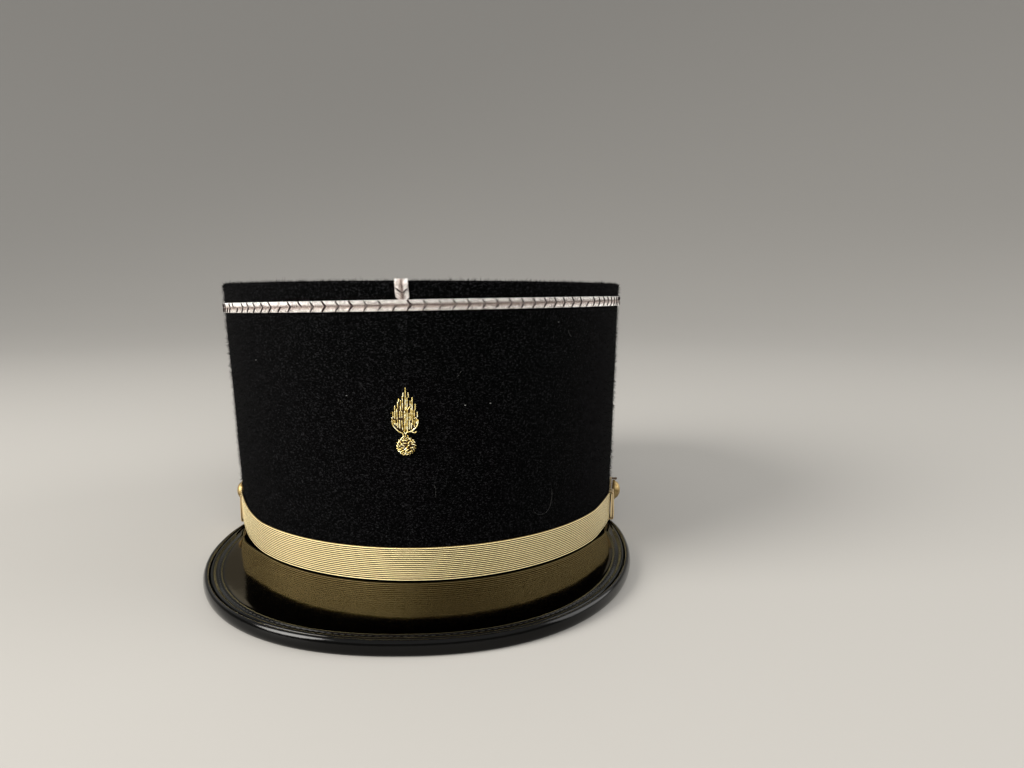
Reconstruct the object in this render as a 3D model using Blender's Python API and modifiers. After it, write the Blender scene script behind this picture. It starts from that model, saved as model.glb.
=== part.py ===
"""Kepi cap, lying on its foot: a stiff wool crown with a patent-leather peak, silver braid and gold lace.

Metres, +Z up. The peak points along -Y, and +X is the wearer's left.
The origin is on the table, under the middle of the cap's bounding box.
The crown leans back a little, so that its back edge and the peak's binding both touch the table.
"""
import math

import bmesh
import bpy
from mathutils import Matrix, Vector

MM = 0.001
GAP = 0.3 * MM                          # clearance between pieces that touch on the real cap

# Crown: an oval drum, wider and further forward at its rim than at its base
BASE_HALF_WIDTH = 83.5 * MM
BASE_HALF_LENGTH = 101.4 * MM
RIM_HALF_WIDTH = 85.6 * MM
RIM_HALF_LENGTH = 104.0 * MM
RIM_FORWARD = 8.1 * MM
FRONT_HEIGHT = 108.6 * MM
BACK_HEIGHT = 101.2 * MM
FRONT_FULLNESS = 0.0103                 # share by which the oval is wider ahead of its middle
WALL = 2.5 * MM
RIM_ROUND = 0.9 * MM
REST_TILT = math.radians(1.15)
CROWN_SEGMENTS = 96

TOP_SINK = 3.0 * MM                     # the top's edge lies this far below the rim
TOP_DISH = 2.0 * MM
TOP_THICKNESS = 2.2 * MM

# Silver braid, the same width all round and up the front
BRAID_WIDTH = 3.8 * MM
BRAID_THICKNESS = 0.8 * MM
BRAID_DROP = 6.3 * MM                   # rim to the braid's upper edge, at front and back
BRAID_SLANT = 1.3 * MM                  # the braid is this much nearer the rim at the left side
UPRIGHT_WIDTH = 4.6 * MM
UPRIGHT_INSIDE = 2.2 * MM               # how far the upright's end reaches down inside the rim

# Gold lace strap with its keepers, tabs and buttons. Stations are distances ahead of the oval's middle.
STRAP_FOOT = 1.0 * MM
STRAP_WIDTH = 12.7 * MM
STRAP_THICKNESS = 0.6 * MM
STRAP_END_STATION = 20.6 * MM
KEEPER_STATIONS = (20.4 * MM, 26.4 * MM)
KEEPER_CLEARANCE = 0.5 * MM
KEEPER_THICKNESS = 0.9 * MM
BUTTON_STATION = 14.0 * MM
BUTTON_HEIGHT = 12.5 * MM               # above the crown's base
BUTTON_RADIUS = 4.2 * MM
BUTTON_RISE = 3.6 * MM
TAB_RADIUS = 5.8 * MM
TAB_THICKNESS = 0.9 * MM

# Peak: a flat crescent inside a superellipse, edged by a rolled binding that lies on the table
PEAK_HALF_WIDTH = 83.75 * MM
PEAK_MIDDLE = 52.4 * MM                 # its widest line, ahead of the oval's middle
PEAK_REACH = 98.9 * MM                  # from that line to the tip
PEAK_SQUARENESS = 2.23                  # 2 is an ellipse
PEAK_ASIDE = 1.1 * MM                   # the peak sits this much towards the wearer's left
PEAK_END_STATIONS = (30.0 * MM, 38.0 * MM)      # the plate's left and right horns end here
PEAK_THICKNESS = 2.0 * MM
PEAK_RISE = 0.65 * MM                   # the plate's top above the crown's base, where they meet
PEAK_CELLS = (72, 6)                    # round the crescent, and across it
BINDING_HALF_WIDTH = 1.35 * MM
BINDING_HALF_HEIGHT = 2.65 * MM
BINDING_END_HALF = 0.8 * MM             # half width and half height at each end
BINDING_END_STATION = 20.0 * MM
BINDING_TAPER = math.radians(40.0)      # stretch over which each end thins
BINDING_STEPS = 75
BINDING_SIDES = 12

# Badge: a flame over a round ball, on the middle of the front
FLAME_FOOT = 56.2 * MM                  # above the crown's base
FLAME_THICKNESS = 1.7 * MM
FLAME_CUP = (                           # the flame's foot: distance from the middle and height, in millimetres
    (1.3, 0.0),
    (3.4, 1.5),
    (4.7, 3.8),
)
FLAME_TIPS = (                          # its tips: distance from the middle and height, in millimetres
    (4.7, 7.5),
    (3.7, 9.9),
    (2.4, 12.2),
    (1.0, 14.1),
    (0.0, 15.7),
)
FLAME_NOTCH = 1.6 * MM                  # depth of the notch between two tips
BALL_HEIGHT = 51.4 * MM
BALL_RADIUS = 3.6 * MM
BALL_RISE = 2.4 * MM

CAP_MIDDLE = (PEAK_MIDDLE + PEAK_REACH - BASE_HALF_LENGTH) / 2      # the oval's middle, behind the origin

FRONT = math.radians(-90)
SPIN_RADIUS = 0.1                       # radius at which a section is spun before it is laid on the crown

FINISHES = {                            # base colour, roughness, metallic
    "wool": ((0.012, 0.012, 0.013), 0.95, 0.0),
    "silver_braid": ((0.62, 0.58, 0.54), 0.45, 0.7),
    "gold_lace": ((0.66, 0.52, 0.26), 0.40, 0.8),
    "gilt_metal": ((0.72, 0.50, 0.22), 0.25, 1.0),
    "patent_leather": ((0.006, 0.006, 0.007), 0.08, 0.0),
    "gold_bullion": ((0.62, 0.47, 0.20), 0.45, 0.9),
}


# Places on the crown, in its own frame: the origin is the middle of the base oval

def rim_height(angle):
    middle = (FRONT_HEIGHT + BACK_HEIGHT) / 2
    return middle - (FRONT_HEIGHT - BACK_HEIGHT) / 2 * math.sin(angle)


def on_crown(angle, out, up):
    """The point that lies out from the crown's surface and up from its base."""
    share = up / rim_height(angle)
    half_width = BASE_HALF_WIDTH + (RIM_HALF_WIDTH - BASE_HALF_WIDTH) * share + out
    half_length = BASE_HALF_LENGTH + (RIM_HALF_LENGTH - BASE_HALF_LENGTH) * share + out
    x = half_width * math.cos(angle) * (1 - FRONT_FULLNESS * math.sin(angle))
    y = half_length * math.sin(angle) - RIM_FORWARD * share
    return Vector((x, y, up))


def braid_height(angle):
    """Height of the braid's upper edge."""
    return rim_height(angle) - BRAID_DROP + BRAID_SLANT * math.cos(angle)


def station_angle(station):
    """Angle on the wearer's left side of a point that lies a given distance ahead of the oval's middle."""
    return -math.asin(station / BASE_HALF_LENGTH)


def crown_seat(angle, up, out):
    """Frame on the crown's surface: its Z points out of the wall and its Y up along it."""
    step = 1 * MM
    along = on_crown(angle + step / BASE_HALF_WIDTH, out, up) - on_crown(angle, out, up)
    upward = on_crown(angle, out, up + step) - on_crown(angle, out, up)
    z_axis = along.cross(upward).normalized()
    y_axis = upward.normalized()
    x_axis = y_axis.cross(z_axis)
    turn = Matrix((x_axis, y_axis, z_axis)).transposed().to_4x4()
    return Matrix.Translation(on_crown(angle, out, up)) @ turn


def crown_lean():
    """Puts the crown's frame on the table: moved behind the origin and tipped about its back edge."""
    hinge = Matrix.Translation((0, BASE_HALF_LENGTH, 0))
    tip = hinge @ Matrix.Rotation(-REST_TILT, 4, "X") @ hinge.inverted()
    return Matrix.Translation((0, CAP_MIDDLE, 0)) @ tip


# Scene helpers

def clear_scene():
    for old in list(bpy.data.objects):
        bpy.data.objects.remove(old, do_unlink=True)


def new_collection(name):
    group = bpy.data.collections.new(name)
    bpy.context.scene.collection.children.link(group)
    return group


def finish_material(finish):
    material = bpy.data.materials.get(finish)
    if material:
        return material
    colour, roughness, metallic = FINISHES[finish]
    material = bpy.data.materials.new(finish)
    material.use_nodes = True
    shader = material.node_tree.nodes["Principled BSDF"]
    shader.inputs["Base Color"].default_value = (*colour, 1)
    shader.inputs["Roughness"].default_value = roughness
    shader.inputs["Metallic"].default_value = metallic
    return material


def add_object(name, data, finish, parent=None):
    piece = bpy.data.objects.new(name, data)
    bpy.data.collections["kepi_cap"].objects.link(piece)
    piece.data.materials.append(finish_material(finish))
    piece.parent = parent
    return piece


def add_mesh(name, shape, finish, parent=None):
    bmesh.ops.recalc_face_normals(shape, faces=shape.faces)
    mesh = bpy.data.meshes.new(name)
    shape.to_mesh(mesh)
    shape.free()
    mesh.shade_smooth()
    mesh.set_sharp_from_angle(angle=math.radians(35))
    return add_object(name, mesh, finish, parent)


def spun(section, start, turn, steps):
    """Spins a closed section of (out, up) points round Z: a whole ring, or a bar with filled ends."""
    shape = bmesh.new()
    points = [shape.verts.new((SPIN_RADIUS + out, 0, up)) for out, up in section]
    whole = math.isclose(turn, math.tau)
    if whole:
        edges = [shape.edges.new((points[i - 1], points[i])) for i in range(len(points))]
        start_geometry = points + edges
    else:
        face = shape.faces.new(points)
        start_geometry = points + list(face.edges) + [face]
    bmesh.ops.rotate(shape, verts=points, matrix=Matrix.Rotation(start, 3, "Z"))
    bmesh.ops.spin(
        shape, geom=start_geometry, cent=(0, 0, 0), axis=(0, 0, 1), angle=turn, steps=steps,
        use_merge=whole, use_duplicate=False)
    return shape


def lay_on_crown(shape, place):
    """Moves each spun point to place(angle, out, up)."""
    for vertex in shape.verts:
        angle = math.atan2(vertex.co.y, vertex.co.x)
        out = math.hypot(vertex.co.x, vertex.co.y) - SPIN_RADIUS
        vertex.co = place(angle, out, vertex.co.z)
    return shape


# Crown

def build_crown_wall(parent):
    """The section hangs from the rim, and its foot is cut off level at the base."""
    corner = RIM_ROUND * (1 - math.sqrt(0.5))
    foot = -2 * FRONT_HEIGHT
    section = [
        (-WALL, foot), (0, foot), (0, -RIM_ROUND), (-corner, -corner), (-RIM_ROUND, 0),
        (RIM_ROUND - WALL, 0), (corner - WALL, -corner), (-WALL, -RIM_ROUND),
    ]
    shape = lay_on_crown(
        spun(section, FRONT, math.tau, CROWN_SEGMENTS),
        lambda angle, out, up: on_crown(angle, out, max(rim_height(angle) + up, 0)))
    return add_mesh("crown_wall", shape, "wool", parent)


def build_crown_top(parent):
    """A dished disc; each point is spun at its share of the way from the middle to the edge."""
    upper = [(share, -TOP_DISH * (1 - share ** 2)) for share in (0, 0.25, 0.5, 0.75, 1)]
    lower = [(share, drop - TOP_THICKNESS) for share, drop in reversed(upper)]
    shape = bmesh.new()
    points = [shape.verts.new((share, 0, drop)) for share, drop in upper + lower]
    edges = [shape.edges.new(pair) for pair in zip(points, points[1:])]
    bmesh.ops.rotate(shape, verts=points, matrix=Matrix.Rotation(FRONT, 3, "Z"))
    bmesh.ops.spin(
        shape, geom=points + edges, cent=(0, 0, 0), axis=(0, 0, 1), angle=math.tau, steps=CROWN_SEGMENTS,
        use_merge=True, use_duplicate=False)
    bmesh.ops.remove_doubles(shape, verts=shape.verts, dist=0.01 * MM)
    height = rim_height(0) - TOP_SINK
    middle = on_crown(0, 0, height).lerp(on_crown(math.pi, 0, height), 0.5)
    for vertex in shape.verts:
        angle = math.atan2(vertex.co.y, vertex.co.x)
        share = math.hypot(vertex.co.x, vertex.co.y)
        edge = on_crown(angle, -WALL - GAP, rim_height(angle) - TOP_SINK)
        vertex.co = middle.lerp(edge, share) + Vector((0, 0, vertex.co.z))
    return add_mesh("crown_top", shape, "wool", parent)


# Braid

def build_top_braid(parent):
    """A flat ring with its outer edges rounded off, hung from the line of its upper edge."""
    round_off = BRAID_THICKNESS / 3
    inner, outer = GAP, GAP + BRAID_THICKNESS
    section = [
        (inner, 0), (outer - round_off, 0), (outer, -round_off),
        (outer, round_off - BRAID_WIDTH), (outer - round_off, -BRAID_WIDTH), (inner, -BRAID_WIDTH),
    ]
    shape = lay_on_crown(
        spun(section, FRONT, math.tau, CROWN_SEGMENTS),
        lambda angle, out, up: on_crown(angle, out, braid_height(angle) + up))
    return add_mesh("top_braid", shape, "silver_braid", parent)


def build_front_braid(parent):
    """Stands on the ring of braid, goes up the wall, over the rim, and a little way down inside."""
    inner, outer = GAP, GAP + BRAID_THICKNESS
    inside = -WALL - GAP
    foot = GAP - BRAID_DROP
    section = [
        (inner, foot), (outer, foot), (outer, 0), (inner, outer),
        (inside, outer), (inside - BRAID_THICKNESS, 0), (inside - BRAID_THICKNESS, -UPRIGHT_INSIDE),
        (inside, -UPRIGHT_INSIDE), (inside, inner), (inner, inner),
    ]
    half_turn = UPRIGHT_WIDTH / 2 / RIM_HALF_WIDTH
    shape = lay_on_crown(
        spun(section, FRONT - half_turn, 2 * half_turn, 4),
        lambda angle, out, up: on_crown(angle, out, rim_height(angle) + up))
    return add_mesh("front_braid", shape, "silver_braid", parent)


# Strap and its fittings

def build_chin_strap(parent):
    start = station_angle(STRAP_END_STATION)
    turn = math.radians(-180) - 2 * start
    inner, outer = GAP, GAP + STRAP_THICKNESS
    top = STRAP_FOOT + STRAP_WIDTH
    section = [(inner, STRAP_FOOT), (outer, STRAP_FOOT), (outer, top), (inner, top)]
    shape = lay_on_crown(spun(section, start, turn, 72), on_crown)
    return add_mesh("chin_strap", shape, "gold_lace", parent)


def build_keeper(side, mirror, parent):
    """A bridge over the strap: an upright bar with a short return to the wall at each end."""
    near = station_angle(KEEPER_STATIONS[0])
    far = station_angle(KEEPER_STATIONS[1])
    inner = GAP + STRAP_THICKNESS + KEEPER_CLEARANCE
    outer = inner + KEEPER_THICKNESS
    low, high = STRAP_FOOT - GAP, STRAP_FOOT + STRAP_WIDTH + GAP
    lip = KEEPER_THICKNESS / 2
    section = [
        (GAP, low), (GAP, low - lip), (outer - lip, low - lip), (outer, low),
        (outer, high), (outer - lip, high + lip), (GAP, high + lip), (GAP, high),
        (inner, high), (inner, low),
    ]
    shape = lay_on_crown(spun(section, near, far - near, 4), on_crown)
    for vertex in shape.verts:
        vertex.co.x *= mirror
    return add_mesh(f"strap_keeper_{side}", shape, "gold_lace", parent)


def side_seat(mirror, up, out):
    angle = station_angle(BUTTON_STATION)
    if mirror < 0:
        angle = math.radians(-180) - angle
    return crown_seat(angle, up, out)


def build_button_tab(side, mirror, parent):
    shape = bmesh.new()
    bmesh.ops.create_cone(
        shape, cap_ends=True, segments=24, radius1=TAB_RADIUS, radius2=TAB_RADIUS, depth=TAB_THICKNESS)
    tab = add_mesh(f"button_tab_{side}", shape, "gold_lace", parent)
    tab.matrix_local = side_seat(mirror, BUTTON_HEIGHT, GAP + TAB_THICKNESS / 2)
    edge = tab.modifiers.new("edge", "BEVEL")
    edge.width = 0.2 * MM
    edge.segments = 1
    return tab


def turned(name, profile, finish, parent, steps=24):
    """Turns a profile of (radius, height) points, top to bottom, round its own Z axis."""
    mesh = bpy.data.meshes.new(name)
    points = [(radius, 0, height) for radius, height in profile]
    mesh.from_pydata(points, [(i, i + 1) for i in range(len(points) - 1)], [])
    piece = add_object(name, mesh, finish, parent)
    screw = piece.modifiers.new("turn", "SCREW")
    screw.steps = screw.render_steps = steps
    screw.use_merge_vertices = True
    screw.merge_threshold = 0.001 * MM
    screw.use_smooth_shade = True
    return piece


def dome_profile(radius, rise, waist):
    """A low dome over a short straight edge, closed underneath."""
    arc = [math.radians(90 - 15 * i) for i in range(7)]
    dome = [(radius * math.cos(a), waist + (rise - waist) * math.sin(a)) for a in arc]
    dome[0] = (0, rise)
    return dome + [(radius, 0), (0, 0)]


def build_side_button(side, mirror, parent):
    profile = dome_profile(BUTTON_RADIUS, BUTTON_RISE, 0.6 * MM)
    button = turned(f"side_button_{side}", profile, "gilt_metal", parent)
    button.matrix_local = side_seat(mirror, BUTTON_HEIGHT, 2 * GAP + TAB_THICKNESS)
    return button


# Peak, modelled level on the table

def peak_outline(turn):
    """Point of the peak's outer edge; turn is 0 at the wearer's left and 90 degrees at the tip."""
    power = 2 / PEAK_SQUARENESS
    across = math.copysign(abs(math.cos(turn)) ** power, math.cos(turn))
    forward = math.copysign(abs(math.sin(turn)) ** power, math.sin(turn))
    x = PEAK_ASIDE + PEAK_HALF_WIDTH * across
    return Vector((x, CAP_MIDDLE - PEAK_MIDDLE - PEAK_REACH * forward, 0))


def outline_turn(station):
    """Turn at which the outline, behind its widest line, passes a given station on the wearer's left."""
    return -math.asin(((PEAK_MIDDLE - station) / PEAK_REACH) ** (PEAK_SQUARENESS / 2))


def binding_size(turn):
    """Half width and half height of the binding."""
    end_turn = outline_turn(BINDING_END_STATION)
    past_end = min(turn, math.pi - turn) - end_turn
    share = math.sin(min(max(past_end / BINDING_TAPER, 0), 1) * math.pi / 2)
    half_width = BINDING_END_HALF + (BINDING_HALF_WIDTH - BINDING_END_HALF) * share
    half_height = BINDING_END_HALF + (BINDING_HALF_HEIGHT - BINDING_END_HALF) * share
    return half_width, half_height


def inset_outline(turn, inset):
    step = math.radians(0.2)
    along = peak_outline(turn + step) - peak_outline(turn - step)
    inward = Vector((0, 0, 1)).cross(along).normalized()
    return peak_outline(turn) - inward * inset


def build_peak():
    """A grid bent to the crescent between the crown's foot and the binding, thickened downwards."""
    lean = crown_lean()
    shape = bmesh.new()
    bmesh.ops.create_grid(shape, x_segments=PEAK_CELLS[0], y_segments=PEAK_CELLS[1], size=1)
    left, right = PEAK_END_STATIONS
    first_turn = outline_turn(left)
    last_turn = math.pi - outline_turn(right)
    first_angle = station_angle(left)
    last_angle = math.radians(-180) - station_angle(right)
    for vertex in shape.verts:
        along = (vertex.co.x + 1) / 2
        across = (vertex.co.y + 1) / 2
        turn = first_turn + along * (last_turn - first_turn)
        angle = first_angle + along * (last_angle - first_angle)
        inner = lean @ on_crown(angle, GAP, PEAK_RISE)
        half_width, half_height = binding_size(turn)
        outer = inset_outline(turn, 2 * half_width + GAP)
        outer.z = max(1.75 * half_height, PEAK_THICKNESS + 0.1 * MM)
        easing = across * across * (3 - 2 * across)
        height = inner.z + (outer.z - inner.z) * easing
        vertex.co = inner.lerp(outer, across)
        vertex.co.z = height
    mesh = bpy.data.meshes.new("peak")
    shape.to_mesh(mesh)
    shape.free()
    mesh.shade_smooth()
    peak = add_object("peak", mesh, "patent_leather")
    leather = peak.modifiers.new("leather", "SOLIDIFY")
    leather.thickness = PEAK_THICKNESS
    leather.offset = -1
    return peak


def build_peak_binding():
    """An oval bar that lies on the table: spun as a round one, and laid along the peak's edge."""
    section = []
    for i in range(BINDING_SIDES):
        around = math.tau * (i / BINDING_SIDES - 0.25)
        section.append((MM * math.cos(around), MM * math.sin(around)))
    first_turn = outline_turn(BINDING_END_STATION)
    shape = spun(section, first_turn, math.pi - 2 * first_turn, BINDING_STEPS)
    for vertex in shape.verts:
        turn = math.atan2(vertex.co.y, vertex.co.x)
        if turn < math.radians(-90):
            turn += math.tau
        out = (math.hypot(vertex.co.x, vertex.co.y) - SPIN_RADIUS) / MM
        half_width, half_height = binding_size(turn)
        height = half_height * (1 + vertex.co.z / MM)
        vertex.co = inset_outline(turn, half_width * (1 - out))
        vertex.co.z = height
    return add_mesh("peak_binding", shape, "patent_leather")


# Badge

def flame_outline():
    """The right half runs up from the neck, tip by tip, and the left half mirrors it."""
    half = [(across * MM, height * MM) for across, height in FLAME_CUP]
    for (across, height), (next_across, next_height) in zip(FLAME_TIPS, FLAME_TIPS[1:]):
        half.append((across * MM, height * MM))
        notch = min(height, next_height) * MM - FLAME_NOTCH
        half.append(((across + next_across) / 2 * MM, notch))
    middle_tip = (0, FLAME_TIPS[-1][1] * MM)
    return half + [middle_tip] + [(-across, height) for across, height in reversed(half)]


def build_badge_flame(parent):
    curve = bpy.data.curves.new("badge_flame", "CURVE")
    curve.dimensions = "2D"
    curve.fill_mode = "BOTH"
    curve.extrude = FLAME_THICKNESS / 2
    points = flame_outline()
    line = curve.splines.new("POLY")
    line.points.add(len(points) - 1)
    for point, (across, height) in zip(line.points, points):
        point.co = (across, height, 0, 1)
    line.use_cyclic_u = True
    flame = add_object("badge_flame", curve, "gold_bullion", parent)
    flame.matrix_local = crown_seat(FRONT, FLAME_FOOT, GAP + FLAME_THICKNESS / 2)
    return flame


def build_badge_ball(parent):
    ball = turned("badge_ball", dome_profile(BALL_RADIUS, BALL_RISE, 0.5 * MM), "gold_bullion", parent)
    ball.matrix_local = crown_seat(FRONT, BALL_HEIGHT, GAP)
    return ball


def main():
    clear_scene()
    new_collection("kepi_cap")
    crown_frame = bpy.data.objects.new("crown_frame", None)
    bpy.data.collections["kepi_cap"].objects.link(crown_frame)
    crown_frame.matrix_world = crown_lean()
    build_crown_wall(crown_frame)
    build_crown_top(crown_frame)
    build_top_braid(crown_frame)
    build_front_braid(crown_frame)
    build_chin_strap(crown_frame)
    for side, mirror in (("left", 1), ("right", -1)):
        build_keeper(side, mirror, crown_frame)
        build_button_tab(side, mirror, crown_frame)
        build_side_button(side, mirror, crown_frame)
    build_peak()
    build_peak_binding()
    build_badge_flame(crown_frame)
    build_badge_ball(crown_frame)


main()
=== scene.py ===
import math
import random

import bmesh
import bpy
from mathutils import Matrix, Vector, noise


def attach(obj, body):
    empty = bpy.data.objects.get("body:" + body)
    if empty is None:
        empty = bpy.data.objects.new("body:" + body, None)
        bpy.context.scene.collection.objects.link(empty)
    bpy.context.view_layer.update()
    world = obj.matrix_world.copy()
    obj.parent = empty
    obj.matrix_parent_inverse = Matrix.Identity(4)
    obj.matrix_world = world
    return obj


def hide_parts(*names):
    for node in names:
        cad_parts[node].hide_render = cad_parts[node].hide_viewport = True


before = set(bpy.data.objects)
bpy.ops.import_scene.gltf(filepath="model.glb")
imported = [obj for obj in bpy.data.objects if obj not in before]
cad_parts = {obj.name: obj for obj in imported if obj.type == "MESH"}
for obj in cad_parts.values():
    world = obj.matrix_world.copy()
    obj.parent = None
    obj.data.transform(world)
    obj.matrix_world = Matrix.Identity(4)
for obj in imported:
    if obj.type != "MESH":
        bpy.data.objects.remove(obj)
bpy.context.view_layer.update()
print("cap: frame loaded")

mm = 0.001
front = math.radians(-90)      # angles run round the crown's oval from the wearer's left (+X)
skyward = Vector((0, 0, 1))
dice = random.Random(7)


def addPrimitive(name, add, stretch=(1, 1, 1), **size):
    bpy.ops.object.select_all(action="DESELECT")
    add(**size)
    piece = bpy.context.object
    piece.name = piece.data.name = name
    piece.scale = stretch
    bpy.ops.object.transform_apply(location=True, rotation=True, scale=True)
    return piece


def takeUp(*pieces):      # only these are selected, and the first is active
    bpy.ops.object.select_all(action="DESELECT")
    for piece in pieces:
        piece.select_set(True)
    bpy.context.view_layer.objects.active = pieces[0]


def edit(piece):
    takeUp(piece)
    bpy.ops.object.mode_set(mode="EDIT")


def done():
    bpy.ops.object.mode_set(mode="OBJECT")


def pick(piece, kind, wanted):      # kind is VERT, EDGE or FACE
    bpy.ops.mesh.select_mode(type=kind)
    bpy.ops.mesh.select_all(action="DESELECT")
    net = bmesh.from_edit_mesh(piece.data)
    for part in {"VERT": net.verts, "EDGE": net.edges, "FACE": net.faces}[kind]:
        if wanted(part):
            part.select_set(True)
    net.select_flush_mode()
    bmesh.update_edit_mesh(piece.data)


def pickAll(kind="VERT"):
    bpy.ops.mesh.select_mode(type=kind)
    bpy.ops.mesh.select_all(action="SELECT")


def pickRunning(piece, axis, least):      # the edges that run further than this along an axis
    pick(piece, "EDGE", lambda e: abs(e.verts[0].co[axis] - e.verts[1].co[axis]) > least)


def moveVerts(piece, move):      # each vertex goes to move(place)
    for vertex in piece.data.vertices:
        vertex.co = move(vertex.co.copy())


def closeUp(piece):      # merges what meets and turns the faces outwards
    edit(piece)
    pickAll()
    bpy.ops.mesh.remove_doubles(threshold=0.002 * mm)
    bpy.ops.mesh.normals_make_consistent(inside=False)
    done()


def faceTowards(piece, outward):      # turns an open sheet's faces all to this side
    edit(piece)
    pickAll()
    bpy.ops.mesh.normals_make_consistent(inside=False)
    done()
    if piece.data.polygons[len(piece.data.polygons) // 2].normal.dot(outward) < 0:
        edit(piece)
        pickAll()
        bpy.ops.mesh.flip_normals()
        done()


def applyModifier(piece, kind, **settings):
    takeUp(piece)
    modifier = piece.modifiers.new(kind.lower(), kind)
    for name, value in settings.items():
        setattr(modifier, name, value)
    bpy.ops.object.modifier_apply(modifier=modifier.name)


def mapFlat(piece, flat):      # each corner's UV is flat(place)
    layer = piece.data.uv_layers.active or piece.data.uv_layers.new()
    for loop in piece.data.loops:
        layer.data[loop.index].uv = flat(piece.data.vertices[loop.vertex_index].co)


def joinAll(pieces):      # the joined piece goes by the first one's name
    takeUp(*pieces)
    bpy.ops.object.join()
    return pieces[0]


def setInPlace(piece, seat):
    moveVerts(piece, lambda co: seat @ co)
    closeUp(piece)


def finishPiece(piece, material, nodes=(), smooth=40):
    takeUp(piece)
    bpy.ops.object.shade_smooth_by_angle(angle=math.radians(smooth))
    piece.data.materials.clear()
    piece.data.materials.append(material)
    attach(piece, "root")
    if nodes:
        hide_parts(*nodes)
    triangles = sum(len(face.vertices) - 2 for face in piece.data.polygons)
    print("cap:", piece.name, triangles, "triangles")
    return piece


def addSheet(name, length, height, columns, rows):      # upright, X along, Z up from 0, faces -Y
    return addPrimitive(
        name, bpy.ops.mesh.primitive_grid_add, size=1, x_subdivisions=columns, y_subdivisions=rows,
        location=(0, 0, height / 2), rotation=(math.radians(90), 0, 0), stretch=(length, height, 1))


def easeUp(low, high, value):      # 0 up to the low value and 1 from the high one
    share = min(max((value - low) / (high - low), 0), 1)
    return share * share * (3 - 2 * share)


def halfRound(share):      # 0 at both sides of a rib, 1 on its crest
    return math.sqrt(max(1 - (2 * share - 1) ** 2, 0))


def alongPath(path, share):      # place at this share of a broken line's length
    lengths = [(b - a).length for a, b in zip(path, path[1:])]
    left = min(max(share, 0), 1) * sum(lengths)
    for a, b, length in zip(path, path[1:], lengths):
        if left <= length or b is path[-1]:
            return a.lerp(b, left / length)
        left -= length


def wayAlong(path, share, step):      # the direction in which the path runs there
    return (alongPath(path, share + step) - alongPath(path, share - step)).normalized()


def roundedPath(points):      # the broken line with its corners cut twice
    path = [Vector(point) for point in points]
    for _ in range(2):
        inner = []
        for a, b in zip(path, path[1:]):
            inner += [a.lerp(b, 0.25), a.lerp(b, 0.75)]
        path = [path[0]] + inner[1:-1] + [path[-1]]
    return path


view = {      # camera, at the photograph's angle
    "place": (31.74 * mm, -369.8 * mm, 122 * mm),
    "down": math.radians(8.76),
    "turn": math.radians(-0.967),
    "roll": math.radians(0.17),
    "lens": 29.88,
}


def addCamera():
    camera = bpy.data.objects.new("camera", bpy.data.cameras.new("camera"))
    bpy.context.scene.collection.objects.link(camera)
    camera.data.sensor_width = 36
    camera.data.lens = view["lens"]
    camera.data.clip_start = 0.01
    camera.matrix_world = (
        Matrix.Translation(view["place"])
        @ Matrix.Rotation(view["turn"], 4, "Z")
        @ Matrix.Rotation(math.radians(90) - view["down"], 4, "X")
        @ Matrix.Rotation(view["roll"], 4, "Z"))
    bpy.context.scene.camera = camera


crown = {      # the crown's form, which every cloth and lace piece is laid on
    "baseHalfWidth": 83.1 * mm,
    "baseHalfLength": 101.4 * mm,
    "rimHalfWidth": 85.65 * mm,
    "rimHalfLength": 104.0 * mm,
    "rimForward": 8.1 * mm,
    "baseAside": 0.4 * mm,          # the base stands this much to the wearer's left, and the rim to the right
    "rimAside": -0.35 * mm,
    "rimSlant": 0.35 * mm,          # the rim stands this much higher on the wearer's left
    "frontHeight": 108.6 * mm,
    "backHeight": 101.2 * mm,
    "frontFullness": 0.0103,
    "middle": 24.95 * mm,           # the base oval's middle, behind the origin
    "lean": math.radians(1.15),
}
lean = (
    Matrix.Translation((0, crown["middle"] + crown["baseHalfLength"], 0))
    @ Matrix.Rotation(-crown["lean"], 4, "X")
    @ Matrix.Translation((0, -crown["baseHalfLength"], 0)))
upright = lean.inverted()


def rimHeight(angle):
    middle = (crown["frontHeight"] + crown["backHeight"]) / 2
    rise = (crown["frontHeight"] - crown["backHeight"]) / 2
    return middle - rise * math.sin(angle) + crown["rimSlant"] * math.cos(angle)


def crownSize(share, out):      # half width and half length at a share of the way up
    halfWidth = crown["baseHalfWidth"] + (crown["rimHalfWidth"] - crown["baseHalfWidth"]) * share + out
    halfLength = crown["baseHalfLength"] + (crown["rimHalfLength"] - crown["baseHalfLength"]) * share + out
    return halfWidth, halfLength


def onCrown(angle, out, up):      # a place on the standing cap, out from the wall and up from its foot
    share = up / rimHeight(angle)
    halfWidth, halfLength = crownSize(share, out)
    aside = crown["baseAside"] + (crown["rimAside"] - crown["baseAside"]) * share
    x = aside + halfWidth * math.cos(angle) * (1 - crown["frontFullness"] * math.sin(angle))
    y = halfLength * math.sin(angle) - crown["rimForward"] * share
    return lean @ Vector((x, y, up))


def offCrown(place):      # angle and height of a point near the wall
    point = upright @ place
    share = point.z / rimHeight(math.atan2(point.y, point.x))
    halfWidth, halfLength = crownSize(share, 0)
    return math.atan2((point.y + crown["rimForward"] * share) / halfLength, point.x / halfWidth), point.z


girthSteps = 720


def measureGirth(up):      # distance from the middle of the front to each of many angles, half way round
    reach = [0.0]
    for i in range(girthSteps):
        a, b = (front + math.pi * k / girthSteps for k in (i, i + 1))
        reach.append(reach[-1] + (onCrown(b, 0, up) - onCrown(a, 0, up)).length)
    return reach


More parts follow.
